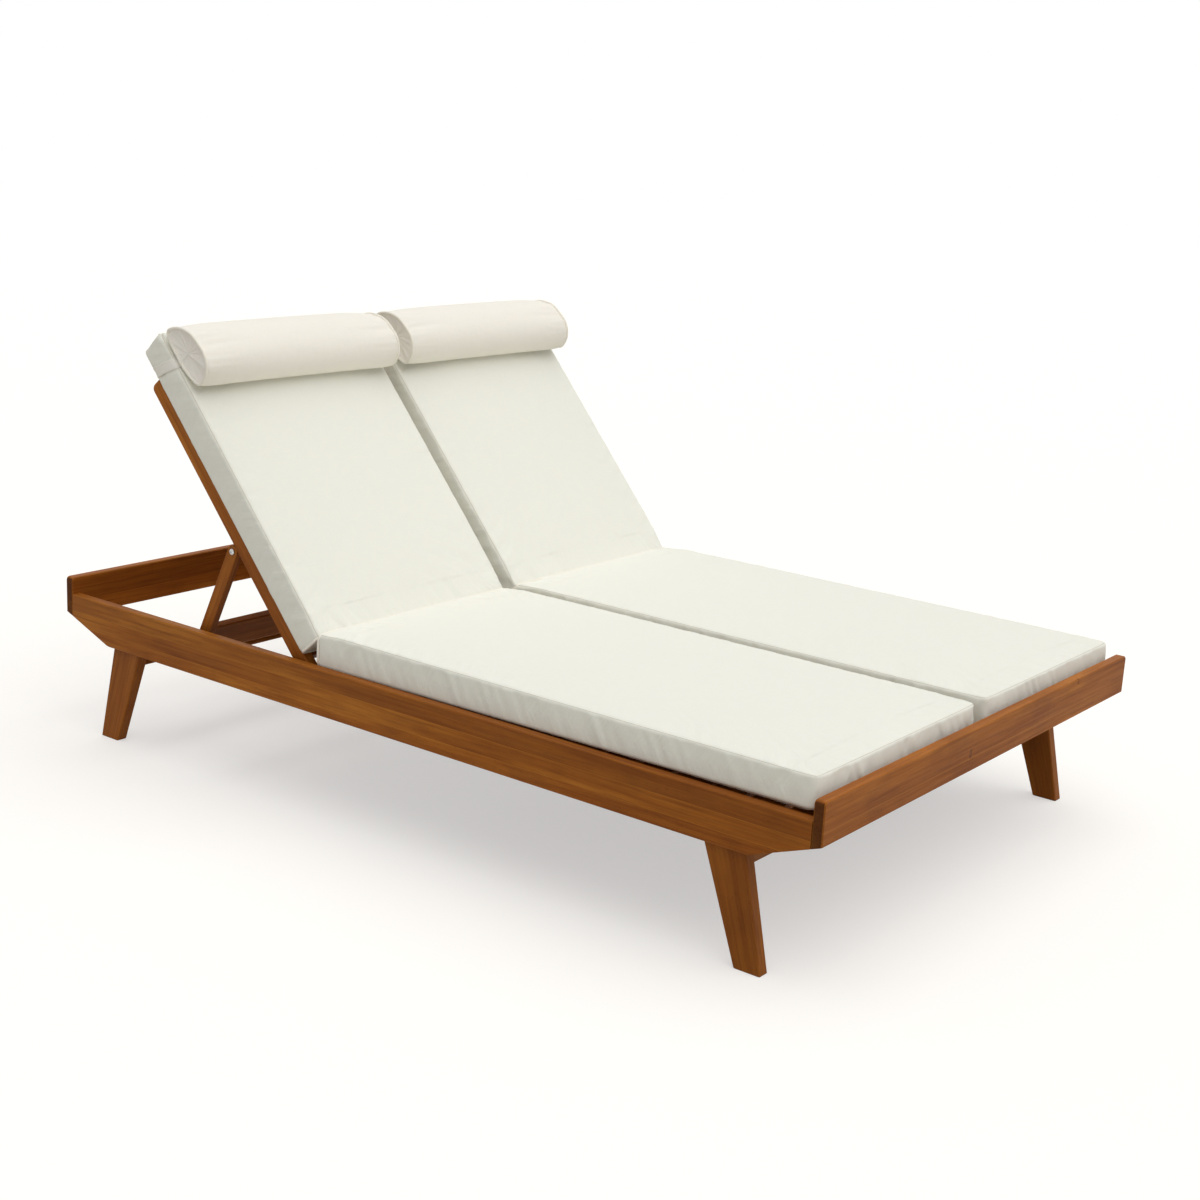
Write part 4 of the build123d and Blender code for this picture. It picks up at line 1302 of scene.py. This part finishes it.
def make_head(name, radius, height, drive, drive_depth):
    """Domed head with a recess for the driver, standing on its own seat."""
    bottom = height - drive_depth
    rings = [(drive, bottom), (drive, height * head_chamfer_share)]
    for share, rise in head_dome_shares:
        rings.append((lambda turn, size=radius * share: size, height * rise))
    turns = [here / head_sides * 2 * pi for here in range(head_sides)]
    points = [(0, 0, bottom)]
    for outline, z in rings:
        points += [(outline(turn) * cos(turn), outline(turn) * sin(turn), z) for turn in turns]
    points.append((0, 0, 0))
    last = 1 + (len(rings) - 1) * head_sides
    faces = []
    for here in range(head_sides):
        after = (here + 1) % head_sides
        faces.append([0, 1 + here, 1 + after])
        for low in range(1, last, head_sides):
            high = low + head_sides
            faces.append([low + here, high + here, high + after, low + after])
        faces.append([last + here, len(points) - 1, last + after])
    points = np.array(points, float)
    return make_piece(name, points, facing_out(points, faces), bolt_steel)


bolt_head = make_head(
    "bolt_head", bolt_head_radius, bolt_head_height, six_sided(bolt_drive), bolt_drive_depth
)
screw_head = make_head(
    "screw_head", screw_head_radius, screw_head_height, crossed(screw_drive), screw_drive_depth
)


def make_fasteners(name, body, rows, head, shank_radius, seed, *stands_for):
    """Bolts or screws as one piece. Each row has a seat, a facing and a shank length."""
    seats, facings, shanks = zip(*rows)
    piece = add_object(name, seats, [], [])
    add_attribute(piece.data, "facing", np.array(facings, float))
    add_attribute(piece.data, "shank", np.array(shanks, float))
    inputs = {"Head": head, "Shank radius": shank_radius, "Seed": seed, "Metal": bolt_steel}
    grow(piece, fasteners_on_points, inputs)
    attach(piece, body)
    if stands_for:
        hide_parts(*stands_for)


def fastener_rows(node, head_height):
    """Seat, facing and shank length of each bolt of a CAD node. All lie along X, and
    their heads are their wide ends."""
    groups = []
    for point in sorted(read_points(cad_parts[node].data).tolist()):
        for group in groups:
            away = abs(np.array(point) - np.mean(group, axis=0))
            close = away[1] < fastener_reach and away[2] < fastener_reach
            if close and point[0] - group[-1][0] < fastener_gap:
                group.append(point)
                break
        else:
            groups.append([point])
    rows = []
    for group in groups:
        group = np.array(group)
        low, high = group.min(0), group.max(0)
        centre = (low + high) / 2
        radius = np.linalg.norm((group - centre)[:, 1:], axis=1)
        wide = group[radius > radius.max() * fastener_wide_share]
        facing = 1.0 if wide[:, 0].mean() > centre[0] else -1.0
        tip, top = (low[0], high[0]) if facing > 0 else (high[0], low[0])
        seat = top - facing * head_height
        rows.append(((seat, centre[1], centre[2]), (facing, 0, 0), abs(seat - tip)))
    return rows


def make_all_fasteners():
    """Bolts, rack screws and slat screws."""
    bolt = (bolt_head, bolt_shank, bolt_head_height)
    screw = (screw_head, screw_shank, screw_head_height)
    for name, body, (head, shank, height), seed, *nodes in (
        ("platform_bolts", "platform", bolt, 3, "leg_bolts", "pivot_bolts"),
        ("prop_swing_bolts_left", "back_left", bolt, 7, "prop_bolts_left"),
        ("prop_swing_bolts_right", "back_right", bolt, 8, "prop_bolts_right"),
        ("notched_rack_screws", "platform", screw, 11, "rack_screws"),
    ):
        rows = sum((fastener_rows(node, height) for node in nodes), [])
        make_fasteners(name, body, rows, head, shank, seed, *nodes)
    low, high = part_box("seat_slats")
    z = high[2] - screw_head_height + screw_stand
    edges = (low[0] + slat_screw_inset, high[0] - slat_screw_inset)
    rows = []
    for number in range(int(round((high[1] - low[1] - slat_width) / slat_pitch)) + 1):
        y = low[1] + slat_width / 2 + slat_pitch * number
        for x in (edges[0], -beam_screw_offset, beam_screw_offset, edges[1]):
            rows.append(((x, y, z), (0, 0, 1), slat_screw_length))
    make_fasteners("seat_slat_screws", "platform", rows, screw_head, screw_shank, 13)


def make_strap(side, pad):
    """Flat band round the back pad that holds the head roll, with its stitch paths."""
    points, corners = read_points(pad.data), corner_numbers(pad.data)
    tree = BVHTree.FromPolygons(points.tolist(), corners.tolist())
    half, tall = pad_width / 2, back_thickness
    wide, middle, high = half * strap_guide_share, tall / 2, tall * 2
    loop = [(-half, -tall), (half, -tall), (wide, middle), (half, high), (-half, high), (-wide, middle)]
    outline, around = resample(np.insert(loop, 2, 0, axis=1), strap_step)
    count = len(outline)
    laid = []
    for offset in strap_rows:
        row = []
        for across, out, _ in outline:
            along = strap_along(out, tall) + offset * strap_width
            found = tree.find_nearest(Vector((across, along, out)))[0]
            row.append((found[0], along, found[2]))
        laid.append(relax(resample(np.array(row), strap_step, count)[0], 2))
    laid = np.array(laid)
    ahead = way_along(laid, 1)
    out = unit(np.stack([ahead[:, :, 2], np.zeros(ahead.shape[:2]), -ahead[:, :, 0]], 2))
    if ((laid - laid.mean((0, 1))) * out).sum() < 0:
        out = -out
    inner = keep_above(laid + out * strap_lift, thread_width + strap_thickness)
    outer = keep_above(laid + out * (strap_lift + strap_thickness), thread_width)
    rows = [in_place("back", side, row) for row in (*outer, *inner[::-1])]
    across = np.concatenate([strap_rows, strap_rows[::-1] + 2]) * strap_width
    name = f"roll_strap_{side}"
    strap = make_tube(name, np.stack(rows, 1), around, across, strap_cloth)
    return strap, [rows[1], rows[len(outer) - 2]]


def fold_piping_path(points, rings, loop, head_end):
    """Round the end face of a pad: over its top seam, down one corner, back and up."""
    across, along = np.max(loop, axis=0)
    row = along if head_end else 0
    span = [loop.index((i, row)) for i in range(across + 1)]
    top, low = points[rings[0][span]], points[rings[-1][span]]
    walls = np.array(rings[1:-1])
    rise, fall = points[walls[:, span[-1]]], points[walls[:, span[0]]]
    path = np.concatenate([top, rise, low[::-1], fall[::-1]])
    path[:, 1] += fold_piping_out if head_end else -fold_piping_out
    over = abs(path[:, 0]) / pad_width - fold_piping_corner_share
    spread = ease(over / (0.5 - fold_piping_corner_share)) * fold_piping_out
    path[:, 0] += np.sign(path[:, 0]) * spread
    return path


def topstitch_path(points, rings, loop):
    """Just inside a pad's top seam, on its top panel."""
    across, along = np.max(loop, axis=0)
    inner = [
        min(max(i, 1), across - 1) * (along + 1) + min(max(j, 1), along - 1) for i, j in loop
    ]
    seam = points[rings[0]]
    inward = unit(points[inner] - seam) * topstitch_inset
    return seam + inward + (0, 0, thread_width * stitch_lift_share)


def make_roll_piping(name, side, roll_points, ring, sign):
    """Piping round one end seam of a roll, a little outside it."""
    path = roll_points[ring] + (sign * roll_piping_radius * roll_piping_along_share, 0, 0)
    out = path - roll_points.mean(0)
    out[:, 0] = 0
    path += unit(out) * roll_piping_radius * roll_piping_out_share
    path = in_place("roll", side, keep_above(path, roll_piping_radius))
    return make_piping(name, path, roll_piping_radius, 81 + (side == "right"))


def make_cushions():
    """Pads, rolls, piping, straps and stitches of both sides."""
    for seed, side in enumerate(sides):
        cushion_body = f"cushion_{side}"
        for kind, body, length, thickness in (
            ("seat", "platform", seat_length, seat_thickness),
            ("back", cushion_body, back_length, back_thickness),
        ):
            is_back = kind == "back"
            own_seed = 41 + seed * 17 + is_back * 7
            pad, rings, loop = make_pad(f"{kind}_pad_{side}", length, thickness, own_seed, is_back)
            points = read_points(pad.data)
            path = in_place(kind, side, fold_piping_path(points, rings, loop, not is_back))
            name = f"{kind}_fold_piping_{side}"
            piping = make_piping(name, path, fold_piping_radius, 71 + seed)
            if is_back:
                strap, edges = make_strap(side, pad)
                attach(strap, body)
                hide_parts(f"head_roll_strap_{side}")
                make_stitches(f"strap_stitches_{side}", edges, body, 5 + seed)
            stitches = in_place(kind, side, topstitch_path(points, rings, loop))
            make_stitches(f"{kind}_topstitch_{side}", [stitches], body, 15 + seed)
            write_points(pad.data, in_place(kind, side, points))
            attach(pad, body)
            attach(piping, body)
            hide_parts(f"{kind}_cushion_{side}")
        roll, ends = make_roll(f"head_roll_pad_{side}", 91 + seed * 13)
        points = read_points(roll.data)
        for end, sign, ring in zip(("near", "far"), (-1, 1), ends):
            piping = make_roll_piping(f"roll_piping_{side}_{end}", side, points, ring, sign)
            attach(piping, cushion_body)
        write_points(roll.data, in_place("roll", side, points))
        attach(roll, cushion_body)
        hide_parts(f"head_roll_{side}")


make_all_fasteners()
make_cushions()
for source in (bolt_head, screw_head):
    bpy.data.objects.remove(source)


def make_floor():
    """Plain pale floor that keeps the shadow and looks white to the camera."""
    finish = Finish("pale_floor")
    finish.set(Base_Color=floor_colour, Roughness=0.9, Specular_IOR_Level=0.1)
    finish.set(Emission_Color=(1, 1, 1, 1), Emission_Strength=finish.seen() * floor_lift)
    half = floor_size / 2
    corners = [(-half, -half, 0), (half, -half, 0), (half, half, 0), (-half, half, 0)]
    make_piece("floor", corners, [(0, 1, 2, 3)], finish.owner)


def make_lights():
    """Soft studio light: a pale surround and two broad suns."""
    finish = Finish("pale_surround", "worlds", "Background")
    strength = finish.seen() * (1 - surround_light) + surround_light
    bpy.context.scene.world = finish.set(Color=(1, 1, 1, 1), Strength=strength)
    for name, (azimuth, height, power, spread) in suns.items():
        data = bpy.data.lights.new(name, "SUN")
        data.energy = power
        data.angle = radians(spread)
        lamp = new_object(name, data)
        turn, rise = radians(azimuth), radians(height)
        from_way = Vector((cos(turn) * cos(rise), sin(turn) * cos(rise), sin(rise)))
        lamp.rotation_euler = from_way.to_track_quat("Z", "Y").to_euler()


make_floor()
make_lights()
